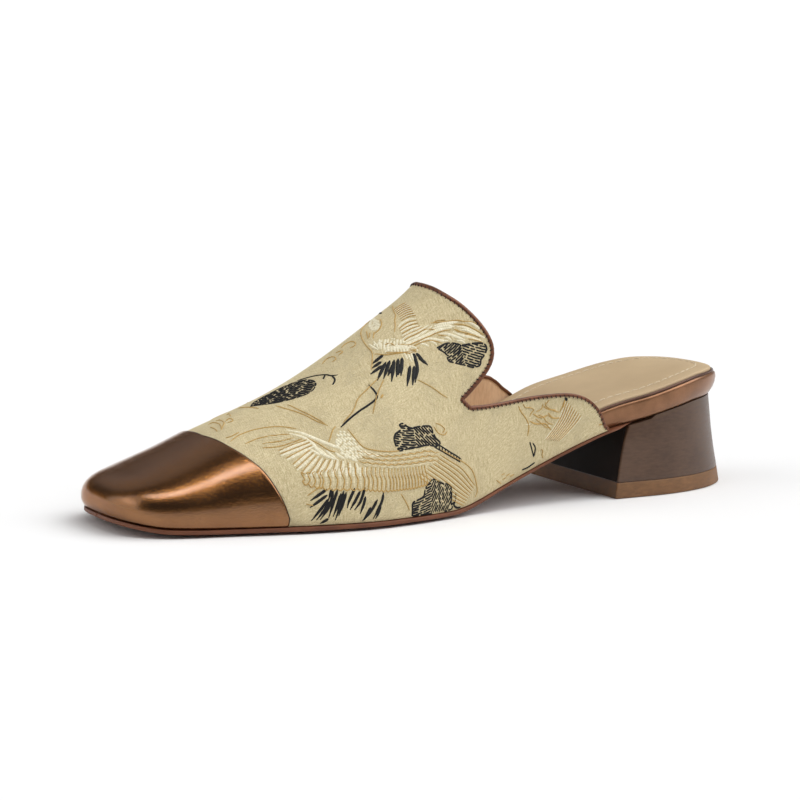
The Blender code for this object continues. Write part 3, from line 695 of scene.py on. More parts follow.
HIGH_BIRD = (
    ("cream", "plume", 1.25, (
        ((147.4, 62.9), (143.2, 62.0), (141.0, 61.3), (139.0, 61.9), (134.0, 62.8), (129.0, 63.8),
         (123.5, 63.0)),
        ((148.0, 61.4), (145.2, 61.5), (142.5, 60.8), (140.5, 59.9), (138.8, 58.4)),
        ((129.2, 65.7), (126.5, 65.5), (123.8, 64.8), (121.0, 64.0)))),
    ("cream", "plume", 0.95, (
        ((133.8, 70.9), (135.8, 71.8), (138.5, 71.3), (140.0, 70.1)),
        ((134.2, 69.4), (136.2, 69.8), (138.5, 69.3), (140.0, 68.6)),
        ((134.2, 67.8), (136.2, 68.2), (138.5, 68.0), (140.2, 67.5)),
        ((133.0, 67.0), (136.5, 66.7), (138.5, 66.2), (140.5, 65.8)),
        ((131.0, 66.8), (134.0, 65.8), (137.2, 65.2), (139.8, 64.8), (141.2, 63.8)),
        ((130.0, 66.0), (133.0, 64.7), (136.2, 63.7), (139.0, 63.3), (141.2, 62.6)),
        ((130.5, 64.9), (128.0, 64.8), (125.2, 64.2), (122.5, 62.9)),
        ((121.8, 62.6), (119.0, 60.9), (116.5, 58.6), (113.8, 56.1)),
        ((120.8, 61.0), (118.5, 59.7), (116.2, 57.6), (114.2, 55.8), (112.0, 54.0)),
        ((123.5, 61.3), (121.2, 59.2), (118.2, 57.2), (116.0, 55.4), (113.8, 53.9)),
        ((128.8, 62.3), (126.5, 61.7), (124.2, 60.3), (122.0, 58.6), (119.8, 56.7)),
        ((118.5, 62.7), (116.8, 61.7), (115.0, 60.0), (113.5, 57.8)),
        ((136.0, 61.2), (132.8, 61.6), (130.5, 60.8), (128.2, 59.6), (126.0, 58.8)))),
    ("cream", "plume", 0.8, (
        ((142.0, 59.2), (140.5, 58.2), (139.2, 57.2)), ((139.8, 60.6), (138.4, 59.5), (137.8, 57.9)),
        ((136.2, 60.6), (134.6, 59.8), (133.5, 58.8)), ((132.5, 60.6), (131.2, 59.7), (130.5, 58.6)),
        ((127.2, 60.8), (125.8, 59.8), (124.8, 58.5)), ((122.8, 57.9), (121.0, 56.8), (120.0, 55.7)))),
    ("gold", "line", 0.4, (
        ((130.2, 67.3), (127.5, 66.5), (121.5, 64.8), (118.5, 62.9), (115.8, 61.5), (114.0, 59.5)),
        ((143.5, 62.9), (140.5, 61.2), (138.0, 61.4), (132.5, 62.4), (129.5, 62.9), (126.5, 62.8),
         (124.0, 62.2)),
        ((122.5, 61.9), (120.5, 60.0), (117.8, 58.1), (115.8, 56.6), (113.8, 54.9)),
        ((139.0, 60.0), (136.0, 60.7), (133.0, 60.9), (130.6, 60.1), (128.5, 58.7)),
        ((148.0, 60.8), (146.0, 59.8), (143.2, 58.9), (141.2, 57.8), (138.8, 57.8)),
        ((122.0, 63.6), (119.8, 62.4), (117.5, 60.7), (116.0, 59.2), (114.0, 57.1), (112.5, 55.3)),
        ((132.5, 65.7), (136.0, 64.6), (139.2, 64.0), (141.0, 63.2)),
        ((132.8, 66.5), (136.0, 65.8), (139.0, 65.4), (140.6, 64.8)),
        ((133.8, 67.5), (137.2, 67.3), (140.2, 66.6)), ((133.8, 68.9), (137.2, 69.0), (140.2, 68.2)),
        ((133.8, 70.3), (136.8, 70.6), (140.0, 69.4)))),
    ("cream", "plume", 0.72, (
        ((149.4, 63.4), (150.0, 66.0), (150.2, 68.5)), ((149.0, 63.4), (148.9, 66.0), (148.6, 68.9)),
        ((148.6, 63.4), (147.8, 66.0), (146.9, 68.4)), ((147.8, 63.2), (146.6, 65.0), (145.4, 66.9)),
        ((146.8, 62.8), (145.4, 64.2), (144.0, 65.2)), ((141.5, 58.2), (141.2, 54.2)),
        ((142.6, 58.8), (142.3, 55.6)), ((140.4, 58.2), (140.4, 54.9)))),
    ("gold", "line", 0.38, (
        ((141.2, 88.0), (145.2, 83.9), (148.2, 78.9), (150.2, 73.0), (151.2, 67.6), (151.4, 63.4),
         (153.0, 59.2), (154.8, 55.4)),
        ((141.2, 80.8), (142.8, 76.2), (144.8, 73.6), (146.5, 72.9)), ((147.0, 77.7), (149.0, 71.8)),
        ((147.0, 75.1), (148.5, 72.1)), ((146.2, 73.9), (148.0, 70.4)),
        ((151.0, 62.1), (148.5, 60.0), (145.5, 59.1), (142.2, 58.6), (139.8, 58.4), (137.0, 59.0)),
        ((155.2, 76.9), (153.5, 78.2), (152.2, 77.4), (152.0, 74.4), (153.2, 72.0), (154.5, 72.4)),
        ((163.0, 73.2), (160.5, 75.3), (159.2, 73.7), (159.8, 70.5), (161.2, 70.0)),
        ((157.6, 75.6), (156.4, 74.4), (156.8, 72.6), (158.2, 72.2)),
        ((141.0, 47.2), (136.0, 43.6), (133.0, 41.0), (130.6, 39.4)),
        ((138.2, 30.2), (136.6, 27.8), (134.0, 26.8), (132.6, 27.8)),
        ((137.2, 31.2), (135.2, 30.4), (133.6, 28.8), (134.6, 27.6)))),
    ("black", "blade", 1.3, (
        ((149.0, 60.2), (153.8, 57.8)), ((150.6, 57.6), (154.4, 56.0)), ((150.8, 55.8), (155.8, 53.6)),
        ((149.4, 56.8), (154.8, 50.2)), ((148.0, 57.0), (152.6, 50.2)), ((146.6, 56.8), (150.4, 48.4)),
        ((145.2, 56.8), (148.2, 49.8)), ((143.8, 56.8), (146.6, 49.8)), ((142.2, 53.0), (145.6, 45.6)),
        ((140.8, 52.6), (143.5, 45.6)), ((139.5, 58.0), (140.0, 51.6), (142.3, 46.4)),
        ((138.6, 57.2), (136.8, 52.8)),
        ((138.4, 55.4), (135.8, 51.9)), ((147.4, 55.2), (150.8, 51.0)), ((144.6, 54.8), (147.4, 50.4)))),
    ("black", "line", 0.8, (((138.9, 84.8), (138.2, 87.4), (137.4, 90.0)),)),
    ("gold", "line", 0.36, (
        ((135.0, 85.9), (137.0, 80.6), (138.0, 76.9), (139.2, 74.8), (140.5, 71.4), (142.0, 68.6)),
        ((122.5, 63.9), (120.0, 62.4)), ((123.0, 62.1), (121.2, 60.2)), ((129.0, 62.1), (126.2, 60.5)),
        ((119.5, 58.6), (117.0, 57.4), (114.2, 55.3)), ((118.5, 56.6), (115.5, 54.7), (113.5, 53.2)),
        ((129.2, 67.1), (127.5, 67.2), (125.0, 66.4)), ((133.5, 65.4), (131.0, 65.1), (129.5, 64.1)),
        ((140.5, 59.5), (139.2, 58.8), (138.5, 57.7)), ((146.8, 64.5), (145.2, 64.3), (144.2, 62.6)))),
)
RIDGE_TWIGS = (
    ("black", "line", 0.74, (
        ((172.0, 70.5), (168.4, 66.6), (166.2, 63.0), (165.5, 60.7), (164.0, 59.5)),
        ((166.5, 63.0), (168.0, 60.8)), ((165.4, 60.4), (165.8, 57.4), (167.5, 54.9)))),
    ("gold", "line", 0.4, (
        ((203.5, 61.8), (202.0, 61.8), (202.2, 56.3), (204.2, 50.1)),
        ((200.8, 62.8), (199.8, 62.2), (200.8, 56.5), (203.2, 51.8), (204.8, 49.0)),
        ((199.8, 57.7), (198.0, 59.3), (198.0, 56.7), (199.0, 54.8), (200.2, 55.2)),
        ((195.8, 66.8), (195.0, 66.7), (196.5, 62.2)), ((205.0, 56.5), (205.2, 52.5), (206.0, 49.0)),
        ((190.5, 70.6), (189.5, 63.8), (189.0, 59.0)), ((207.0, 40.1), (205.0, 40.3), (202.2, 41.9)))),
)
FAN_FIRST = ((89.4, 8.0), (86.0, 10.4), (83.2, 13.2), (81.2, 16.8), (80.5, 18.2))
FAN_LAST = ((83.2, 4.7), (80.2, 5.9), (77.0, 7.5), (75.2, 8.6), (74.0, 9.6))
QUARTER = (
    ("black", "line", 0.6, (
        ((95.8, 10.2), (94.8, 6.8), (94.0, 4.0)), ((94.5, 9.2), (93.4, 6.9), (93.9, 4.2)),
        ((99.2, 1.7), (96.5, 1.4), (93.5, 1.8)))),
    ("black", "plume", 1.2, (((80.8, 19.2), (80.2, 17.8)),)),
    ("gold", "line", 0.5, (
        ((100.5, 25.0), (99.5, 22.5), (97.5, 19.4), (96.2, 16.0), (96.8, 12.7)),
        ((88.0, 16.9), (86.0, 14.3), (83.0, 12.9)), ((81.8, 16.0), (81.0, 18.5)),
        ((95.8, 17.6), (93.0, 15.3), (89.2, 13.6), (86.8, 10.3)), ((94.2, 19.4), (91.2, 16.7), (88.0, 16.2)),
        ((89.8, 20.2), (88.0, 18.3), (84.8, 16.5)), ((66.5, 3.6), (65.2, 3.4)))),
    ("cream", "plume", 0.5, (((97.4, 17.0), (95.6, 16.4)), ((88.4, 12.6), (87.0, 11.8)))),
    ("gold", "line", 0.34, (
        ((98.5, 24.8), (97.5, 23.1), (95.5, 22.2), (94.0, 20.8), (95.2, 20.0), (95.8, 19.1)),
        ((89.2, 21.3), (88.8, 19.8), (87.2, 18.0), (85.0, 16.1), (83.2, 15.1)), ((87.5, 21.3), (88.8, 20.5)),
        ((93.2, 17.1), (91.5, 15.3), (89.2, 12.5), (87.5, 11.4)), ((89.2, 14.8), (87.8, 13.2), (86.0, 11.9)),
        ((88.0, 16.0), (86.0, 14.0)), ((81.5, 17.9), (82.2, 16.3), (83.2, 15.2)),
        ((90.0, 21.1), (90.8, 19.6), (92.8, 19.6)), ((92.0, 18.0), (90.2, 16.6), (89.0, 14.7)),
        ((90.8, 5.3), (90.2, 4.4), (90.5, 3.1), (90.0, 1.7)), ((108.8, 4.2), (107.2, 4.1)),
        ((106.5, 2.8), (104.8, 2.9)), ((104.8, 1.8), (102.8, 1.8)), ((108.2, 2.4), (106.5, 2.3)))),
)

THREAD_HIGH = {"black": 0.17, "gold": 0.26, "cream": 0.17, "pale": 0.17}
THREAD_LIFT = 0.015
LEAST_HIGH = 0.35
STROKE_STEP = 0.42
CHART_STEP = 0.3
LEAST_POINTS = 3
CAP_CLEAR = 0.4
EDGE_CLEAR = 0.01
INNER_TOP = -0.3
LENS = np.array([(-1.0, 0.0), (-0.6, 0.75), (0.0, 1.0), (0.6, 0.75), (1.0, 0.0), (0.0, -0.6)])
STYLES = {  # shares of a stroke that taper at its start and end, and the width left at the tips
    "line": (0.1, 0.1, 0.55), "plume": (0.35, 0.25, 0.45),
    "blade": (0.15, 0.45, 0.35), "float": (0.1, 0.1, 0.7),
}


def inside(points, corners):
    """Which (x, s) points lie inside a closed outline."""
    x, s = points[:, 0], points[:, 1]
    hit = np.zeros(len(points), bool)
    c = np.asarray(corners, float)
    for (x0, s0), (x1, s1) in zip(c, np.roll(c, -1, axis=0)):
        crosses = (s0 > s) != (s1 > s)
        at = x0 + (s - s0) * (x1 - x0) / (s1 - s0 if s1 != s0 else 1e-9)
        hit ^= crosses & (x < at)
    return hit


def runs(keep):
    """Start and end of each unbroken run."""
    edge = np.flatnonzero(np.diff(np.concatenate([[0], keep.astype(int), [0]])))
    return zip(edge[::2], edge[1::2])


def swell(count, start, finish, tip):
    """Width along a stroke that tapers at both ends."""
    t = np.linspace(0.0, 1.0, count)
    return tip + (1 - tip) * np.minimum(smoothstep(t / start), smoothstep((1 - t) / finish))


def between(first, last, share):
    """Line part of the way between two charted lines of the same number of points."""
    return np.asarray(first) * (1 - share) + np.asarray(last) * share


def beside(line):
    """Unit steps to the left of a line on the cloth."""
    way = unit(np.gradient(line, axis=0))
    return np.stack([-way[:, 1], way[:, 0]], -1)


class Figures:
    """Strokes of raised thread on one side of the upper, gathered by colour."""

    def __init__(self, bags, side, shift):
        self.bags, self.side, self.shift = bags, side, np.array(shift)

    def stroke(self, thread, points, wide, style="line", clear=()):
        flat = rounded(points, STROKE_STEP)
        keep = np.ones(len(flat), bool)
        for area in clear:
            keep &= ~inside(flat, AREAS[area])
        flat = flat + self.shift
        u = chart_u(flat[:, 0], flat[:, 1], self.side)
        keep &= (flat[:, 0] < cap_edge(u) - CAP_CLEAR) & (np.abs(u) < U_END - EDGE_CLEAR)
        if self.side < 0:
            keep &= u < INNER_TOP
        for a, b in runs(keep):
            if b - a < LEAST_POINTS:
                continue
            x, v = flat[a:b, 0], u[a:b]
            p, n = upper_point(x, v), outward(x, v)
            over = unit(np.cross(n, unit(np.gradient(p, axis=0))))
            share = swell(b - a, *STYLES[style])
            size = wide / 2 * share
            tall = THREAD_HIGH[thread] * np.clip(share, LEAST_HIGH, 1.0)
            rings = p[:, None] + over[:, None] * (size[:, None] * LENS[:, 0])[..., None]
            rings = rings + n[:, None] * (tall[:, None] * LENS[:, 1] + THREAD_LIFT)[..., None]
            self.bags[thread].add(tube(rings), np.repeat(flat[a:b], len(LENS), axis=0))

    def chart(self, groups, clear=()):
        for thread, style, wide, lines in groups:
            for line in lines:
                self.stroke(thread, line, wide, style, clear)

    def dashes(self, thread, line, keep, draw, wide, sizes):
        """Breaks a line, drawn every CHART_STEP, into floats of the given range of steps."""
        for a, b in runs(keep):
            at = a
            while at < b - 2:
                end = min(b, at + int(draw.integers(*sizes)))
                if end - at >= LEAST_POINTS:
                    self.stroke(thread, line[at:end], wide * draw.uniform(0.85, 1.15), "float")
                at = end + 1

    def hatch(self, thread, area, angle, bow, pitch, wide, sizes, draw, span=(0.0, 250.0)):
        """Rows of floats that fill an area, or a stretch of it; bow bends the rows."""
        c = np.array(AREAS[area])
        middle = c.mean(axis=0)
        d = np.array([np.cos(np.radians(angle)), np.sin(np.radians(angle))])
        n = np.array([-d[1], d[0]])
        reach = np.abs((c - middle) @ d).max()
        t = np.arange(-reach, reach, CHART_STEP)
        offs = (c - middle) @ n
        for row in np.arange(offs.min() - bow, offs.max() + bow, pitch):
            line = middle + t[:, None] * d + (row + bow * (t / reach) ** 2)[:, None] * n
            line = line + n * (0.07 * np.sin(t * 1.7 + row * 3.0))[:, None]
            keep = inside(line, c) & (line[:, 0] > span[0]) & (line[:, 0] < span[1])
            self.dashes(thread, line, keep, draw, wide, sizes)

    def leaf(self, area, seed):
        """Black leaf spray: an outline and rows that leave fine lines of the ground between them."""
        draw = np.random.default_rng(seed)
        c = np.array(AREAS[area])
        line = rounded(np.vstack([c, c[:1]]), CHART_STEP)
        self.dashes("black", line, np.ones(len(line), bool), draw, 0.7, (9, 22))
        for name, low, high, angle, bow in LEAF_ROWS:
            if name == area:
                self.hatch("black", area, angle, bow, 0.82, 0.62, (8, 22), draw, (low, high))

    def ladder(self, points, wide_start, wide_end):
        """Twig of two lines joined by rungs, narrowing to a loop."""
        line = rounded(points, CHART_STEP)
        off = beside(line) * np.linspace(wide_start, wide_end, len(line))[:, None] / 2
        for sign in (1, -1):
            self.stroke("black", line[::3] + sign * off[::3], 0.55)
        for i in range(4, len(line), 5):
            self.stroke("black", (line[i] + off[i], line[i - 2], line[i - 3] - off[i - 3]), 0.55)

    def plume(self, points, wide):
        """One white feather with a fine gold line along an edge."""
        self.stroke("cream", points, wide, "plume")
        line = rounded(points, 0.8)
        self.stroke("gold", line + beside(line) * (wide * 0.6), 0.36)

    def fan(self, first, last, count, threads, clear=()):
        """Threads that take turns from a first line to a last one."""
        for i in range(count):
            thread, wide = threads[i % len(threads)]
            self.stroke(thread, between(first, last, i / (count - 1)), wide, "line", clear)


FEATHER_STRETCHES = ((189.6, 184.0, -1.8), (183.2, 168.0, -2.4), (167.2, 160.0, -1.6), (159.0, 142.5, -1.25))
FEATHER_TOP = ((143, 17.4), (150, 17.2), (158, 17.6), (165, 18.8), (175, 19.4), (183, 19.0), (190, 17.8))
FEATHER_LOW = (
    (142, 12.6), (145, 11.0), (150, 10.4), (160, 10.5), (170, 11.9), (180, 12.4), (186, 13.8), (190, 15.6),
)
FEATHER_LEAN = ((142, -1.0), (150, -0.5), (165, 0.5), (190, 1.3))
ARM_EDGE = ((137, 21.8), (142, 23.4), (148, 23.1), (156, 22.8), (162, 23.4), (166, 24.5), (170, 26.6))
ARM_FOOT = ((137, 17.4), (143, 17.6), (150, 17.4), (158, 17.8), (165, 18.9), (170, 19.6))


def hanging_feathers(figures):
    """The lower bird's hanging feathers: petals under the wing's arm, turning into fine wavy rows."""
    x = np.concatenate([np.arange(*stretch) for stretch in FEATHER_STRETCHES])
    top, low, lean = (np.interp(x, *zip(*rows)) for rows in (FEATHER_TOP, FEATHER_LOW, FEATHER_LEAN))
    foot = x + lean
    for i in range(len(x) - 1):
        middle, half = (x[i] + foot[i]) / 2, (top[i] + low[i]) / 2
        edge = ((x[i], top[i]), (middle + 0.45, half + 1.7), (middle - 0.25, half - 0.7), (foot[i], low[i]))
        far = (foot[i] + foot[i + 1]) / 2
        arch = ((foot[i], low[i]), (far, min(low[i], low[i + 1]) - 0.7), (foot[i + 1], low[i + 1]))
        for line in (edge, arch):
            figures.stroke("gold", line, 0.44, "line", WING_CLEAR)
        centre, step = (x[i] + x[i + 1]) / 2, x[i] - x[i + 1]
        for thread, wide, start, end in (("cream", 0.5, 0.02, 0.45), ("pale", 0.42, 0.40, 0.92)):
            if thread == "cream" and x[i] < 168.0:
                thread = "pale"
            share = np.linspace(start, end, 3)
            fill = np.stack([centre + (far - centre) * share, top[i] + (low[i] - top[i]) * share], -1)
            figures.stroke(thread, fill, wide * step, "plume", WING_CLEAR)


def arm_rows(figures):
    """Wavy rows of small feathers between the wing's upper edge and the hanging feathers."""
    x = np.arange(170.0, 137.0, -0.8)
    edge, foot = (np.interp(x, *zip(*rows)) for rows in (ARM_EDGE, ARM_FOOT))
    rows = 7
    for i in range(rows):
        share = (i + 0.6) / rows
        wave = 0.28 * np.sin(x * 2.1 + i * 1.9)
        line = np.stack([x, edge + (foot - edge) * share + wave], -1)
        thread, wide = (("pale", 0.6), ("gold", 0.4))[i % 2]
        figures.stroke(thread, line, wide, "line", WING_CLEAR)


def long_primaries(figures):
    """Long feathers at the back end of the lower bird's wing."""
    first = ((136.6, 20.2), (127.4, 14.2), (121.0, 6.0))
    last = ((147.0, 13.8), (137.6, 7.6), (126.0, 0.6))
    figures.fan(first, last, 17, (("gold", 0.4), ("pale", 0.62)), WING_CLEAR)


def low_bird(bags, side, shift, seed):
    figures = Figures(bags, side, shift)
    for line in FINGERS:
        figures.plume(line, 1.1)
    figures.hatch("cream", "low_body", 52.0, 0.5, 0.88, 0.88, (5, 9), np.random.default_rng(seed))
    figures.chart(LOW_BIRD, WING_CLEAR)
    hanging_feathers(figures)
    arm_rows(figures)
    long_primaries(figures)
    figures.chart(LOW_LOOSE)
    figures.ladder(TWIG, 1.5, 1.0)
    for i, area in enumerate(WING_CLEAR):
        figures.leaf(area, seed + 1 + i)


def high_bird(bags, side, shift, seed):
    figures = Figures(bags, side, shift)
    figures.hatch("cream", "high_body", 110.0, 0.5, 1.0, 0.7, (7, 14), np.random.default_rng(seed + 2))
    figures.hatch("cream", "high_head", 80.0, 0.0, 0.6, 0.75, (8, 16), np.random.default_rng(seed))
    figures.fan(*HIGH_DOWN, 15, (("gold", 0.32), ("cream", 0.42)))
    figures.chart(HIGH_BIRD, ("tongue_leaf",))
    figures.leaf("tongue_leaf", seed + 1)


def quarter_figure(bags, side, shift):
    figures = Figures(bags, side, shift)
    figures.chart(QUARTER)
    figures.fan(FAN_FIRST, FAN_LAST, 17, (("cream", 0.42), ("gold", 0.4)))


def woven_figures():
    bags = {name: Bag() for name in ("black", "gold", "cream", "pale")}
    here = (0.0, 0.0)
    low_bird(bags, 1, here, 11)
    high_bird(bags, 1, here, 21)
    quarter_figure(bags, 1, here)
    ridge = Figures(bags, 1, here)
    ridge.chart(RIDGE_TWIGS)
    ridge.leaf("ridge_leaf", 31)
    # the cloth's next repeats, on the inner side
    low_bird(bags, -1, (-7.0, 1.0), 41)
    high_bird(bags, -1, (4.0, -5.0), 51)
    quarter_figure(bags, -1, (4.0, 0.0))
    return bags


# Soles, sock and heel
def plan_steps():
    heel = HEEL_X * (1 - np.sin(np.radians(np.linspace(89.2, 0, 34))) ** (2 / HEEL_POWER))
    middle = np.linspace(HEEL_X, TOE_X, 72)[1:-1]
    toe = TOE_X + (LENGTH - TOE_X) * np.sin(np.radians(np.linspace(0, 89.4, 34))) ** (2 / TOE_POWER)
    return np.concatenate([heel, middle, toe])


def plan_level(x, grow, height):
    """One level of a layer that follows the plan outline; grow is taken at each station."""
    grow_heel, grow_toe = float(grow[0]), float(grow[-1])
    heel = np.clip((HEEL_X - x) / HEEL_X, 0.0, 1.0)
    toe = np.clip((x - TOE_X) / (LENGTH - TOE_X), 0.0, 1.0)
    moved = x - heel * grow_heel + toe * grow_toe
    left = half_width(moved, True, grow, grow_heel, grow_toe)
    right = half_width(moved, False, grow, grow_heel, grow_toe)
    return moved, left, right, height(moved)


def footbed_top(up):
    return lambda x: seat(x) + LAYER("rise", x) + up


RIM_PROFILE = (  # share of the rise, share of the way from foot to rim, and millimetres out
    (0.0, 0.0, -0.5), (0.04, 0.02, -0.12), (0.12, 0.2, 0.0), (0.30, 0.55, 0.1), (0.55, 0.85, 0.12),
    (0.78, 1.0, 0.05), (0.90, 1.0, -0.08), (0.96, 1.0, -0.3), (1.0, 1.0, -0.75),
)


def footbed_solid():
    """Wrapped rim: full at the middle of its height, turned in over the top edge."""
    x = plan_steps()
    foot, rim = LAYER("foot", x), LAYER("rim", x)

    def at(share):
        return lambda s: seat(s) + LAYER("rise", s) * share

    levels = [(share, foot * (1 - mix) + rim * mix + out) for share, mix, out in RIM_PROFILE]
    return slab([plan_level(x, grow, at(share)) for share, grow in levels])


SOCK_STITCH = 5.6
SOCK_PROFILE = (  # millimetres in from the edge, and up
    (0.0, 0.02), (0.0, 0.55), (0.06, 0.9), (0.22, 1.2), (0.5, 1.38), (0.9, 1.48), (1.6, 1.56), (2.8, 1.64),
    (4.2, 1.64), (5.0, 1.56), (SOCK_STITCH, 1.46), (6.2, 1.56), (7.0, 1.66), (9.0, 1.74), (12.0, 1.81),
    (16.0, 1.86), (22.0, 1.88),
)


def sock_solid():
    """Padded sock: a rolled edge, a sewn channel and a soft crown."""
    x = plan_steps()
    edge = LAYER("sock", x)
    return slab([plan_level(x, edge - inset, footbed_top(GAP + up)) for inset, up in SOCK_PROFILE])


SOLE_CREASE = 0.3
SOLE_FULL = 2.4
SOLE_BODY = Table(  # thinner at the waist than the CAD sole
    "x thick",
    (42.0, 0.7), (52.0, 0.9), (64.0, 1.3), (80.0, 1.5), (108.0, 1.6), (130.0, 2.4), (250.0, 2.4),
)
SOLE_PROFILE = (  # share of the height, and millimetres in from the edge where the sole is full
    (0.0, 6.5), (0.10, 5.0), (0.20, 3.2), (0.30, 1.5), (0.38, 0.5), (0.44, 0.1), (0.50, 0.0), (0.88, 0.0),
    (0.96, 0.08), (1.0, 0.3),
)


def outsole_solid():
    """Thin sole: a plain edge that turns far in underneath, so that its rim stands clear of the floor."""
    x = plan_steps()
    x = np.concatenate([[SOLE_END], x[x > SOLE_END + 0.5]])
    hidden_end = smoothstep((60.0 - x) / 12.0)
    grow = LAYER("sole", x) - 2.5 * hidden_end

    def at(share):
        def height(s):
            top = seat(s) - SOLE_CREASE
            low = np.maximum(top - SOLE_BODY("thick", s), 0.0)
            return low + (top - low) * share
        return height

    part = SOLE_BODY("thick", x) / SOLE_FULL
    return slab([plan_level(x, grow - inset * part, at(share)) for share, inset in SOLE_PROFILE])


def outline(inset, name, height, front, step):
    """Points evenly spaced along a layer's edge, from the outer side round the heel to the inner side."""
    x = plan_steps()
    moved, left, right, z = plan_level(x, LAYER(name, x) - inset, height)
    take = moved < front
    one = np.stack([moved, left, z], -1)[take]
    two = np.stack([moved, -right, z], -1)[take]
    path = np.concatenate([one[::-1], two])
    return along_line(path, np.arange(0.0, lengths(path)[-1], step))


def cord(path, face, radius, sides=8, taper=0.0):
    """Round cord along a path; face is the direction away from what it lies on."""
    way = unit(np.gradient(path, axis=0))
    across = unit(np.cross(way, face))
    up = np.cross(across, way)
    turn = np.linspace(0.0, 2 * np.pi, sides, endpoint=False)
    size = radius * np.ones(len(path))
    if taper:
        size[[0, -1]] = radius * taper
    ring = across[:, None] * np.cos(turn)[None, :, None] + up[:, None] * np.sin(turn)[None, :, None]
    return tube(path[:, None] + ring * size[:, None, None])


UPRIGHT = np.array([0.0, 0.0, 1.0])


def sock_stitches():
    """Row of stitches along the sock's sewn channel."""
    path = outline(SOCK_STITCH, "sock", footbed_top(GAP + 1.44), 118.0, 0.5)
    bag = Bag()
    pitch, run = 7, 6
    dip = np.array([-0.14, 0.08, 0.14, 0.16, 0.14, 0.08, -0.14])
    for at in range(0, len(path) - run - 1, pitch):
        stitch = path[at:at + run + 1].copy()
        stitch[:, 2] += dip
        bag.add(cord(stitch, UPRIGHT, 0.24, 8, 0.6))
    return bag.solid()


def heel_level(height, inset=0.0, top=None):
    """One level of the heel: flat breast with rounded corners, round back."""
    back = HEEL("back", height) + inset
    breast = HEEL("breast", height) - inset
    half = HEEL("half", height) - inset
    centre, corner = HEEL_X, 0.5
    turn = np.radians(np.linspace(89.0, 0, 40))
    rear = centre - (centre - back) * np.sin(turn) ** (2 / HEEL_POWER)
    ease = np.radians(np.linspace(0.0, 90.0, 9))
    flank = np.linspace(centre, breast - corner, 6)[1:-1]
    x = np.concatenate([rear, flank, breast - corner + corner * np.sin(ease)])
    part = np.clip((centre - x) / (centre - back), 0.0, 1.0)
    y = half * (1 - part ** HEEL_POWER) ** (1 / HEEL_POWER)
    y[-len(ease):] -= corner * (1 - np.cos(ease))
    z = np.full_like(x, height) if top is None else top(x)
    return x, y, y, z


def heel_top(x):
    """Underside of what the heel carries: the footbed, and the outsole's thin end in front of it."""
    under = np.clip((x - (SOLE_END - 1.5)) / 1.5, 0.0, 1.0)
    sole = SOLE_CREASE + SOLE_BODY("thick", x)
    return seat(x) - GAP * 0.4 - under * (sole - GAP * 0.3)


# The heel breast's near-black panel is painted shade: it darkens the breast, which the arch and sole shade.
SHADE_PANEL_TOP = 25.2
SHADE_PANEL_INSET = 0.7
SHADE_PANEL_BACK, SHADE_PANEL_FRONT = 0.04, 0.16  # how far ahead of the heel's breast


def painted_shade_breast():
    """Near-black panel on the front of the heel: painted shade for the breast, which lies in the shade of the
    arch and sole.
    """
    rings = []
    for height in np.linspace(LIFT_HEIGHT + 0.5, SHADE_PANEL_TOP, 12):
        half = HEEL("half", height) - SHADE_PANEL_INSET
        front = HEEL("breast", height)
        corners = ((SHADE_PANEL_BACK, -half), (SHADE_PANEL_FRONT, -half), (SHADE_PANEL_FRONT, half), (SHADE_PANEL_BACK, half))
        rings.append([(front + ahead, across, height) for ahead, across in corners])
    return tube(rings)


HEEL_EDGE = ((0.0, 0.3), (0.12, 0.1), (0.4, 0.0))  # rounding of the lower edge: up, and in
HEEL_EVEN = (7.5, 21.0)
HEEL_SEAT = 30.0


def heel_solid():
    """Covered block: level up to the bend of the seat, then drawn up to what it carries."""
    low = LIFT_HEIGHT + GAP * 0.6
    start = HEEL_EVEN[1]
    levels = [heel_level(low + up, inset) for up, inset in HEEL_EDGE]
    levels += [heel_level(height) for height in np.linspace(*HEEL_EVEN, 9)]

    def top(share):
        return lambda x: start + (heel_top(x) - start) * share

    for share in (0.3, 0.6, 0.85, 1.0):
        levels.append(heel_level(start + (HEEL_SEAT - start) * share, 0.0, top(share)))
    return slab(levels)


def lift_solid():
    """Wearing piece under the heel, with both edges eased."""
    top = LIFT_HEIGHT + GAP * 0.4
    low_edge = ((0.0, 0.5), (0.15, 0.2), (0.5, 0.0), (2.0, 0.0), (3.8, 0.0))
    high_edge = ((top - 0.35, 0.0), (top - 0.1, 0.06), (top, 0.2))
    return slab([heel_level(height, inset) for height, inset in low_edge + high_edge])


# Collar and cap
BINDING = np.array([  # section of the binding: through the wall, and away from its edge
    (-1.00, -0.60), (-1.12, -0.15), (-1.10, 0.50), (-0.92, 0.90), (-0.50, 1.12), (0.0, 1.18), (0.50, 1.14),
    (0.90, 0.98), (1.06, 0.70), (1.12, 0.10), (1.00, -0.50), (0.82, -0.52), (0.82, 0.02), (-0.82, 0.02),
    (-0.82, -0.60),
])
BINDING_STEPS = 130
QUARTER_RISE = 0.6  # the binding is lower on the quarters than on the tongue
STITCH_PITCH = 1.8
STITCH_STEPS = (  # along a collar stitch: through the wall, away from the edge, along the collar
    (0.84, -0.85, -0.26), (0.96, -0.72, -0.20), (1.08, -0.46, -0.08), (1.13, -0.20, 0.06), (1.14, 0.02, 0.18),
    (1.04, 0.14, 0.24),
)


def collar_frame(count):
    """Middle of the wall along the collar, with the directions out of the wall, off its edge and along it."""
    u, x = collar_line(count)
    u = np.clip(u, -U_END + 0.03, U_END - 0.03)
    n = outward(x, u)
    edge = upper_point(x, u) - n * (WALL / 2)
    way = unit(np.gradient(edge, axis=0))
    away = unit(np.cross(way, n))
    if away[len(away) // 2, 0] > 0:
        away = -away
    return edge, n, away, way


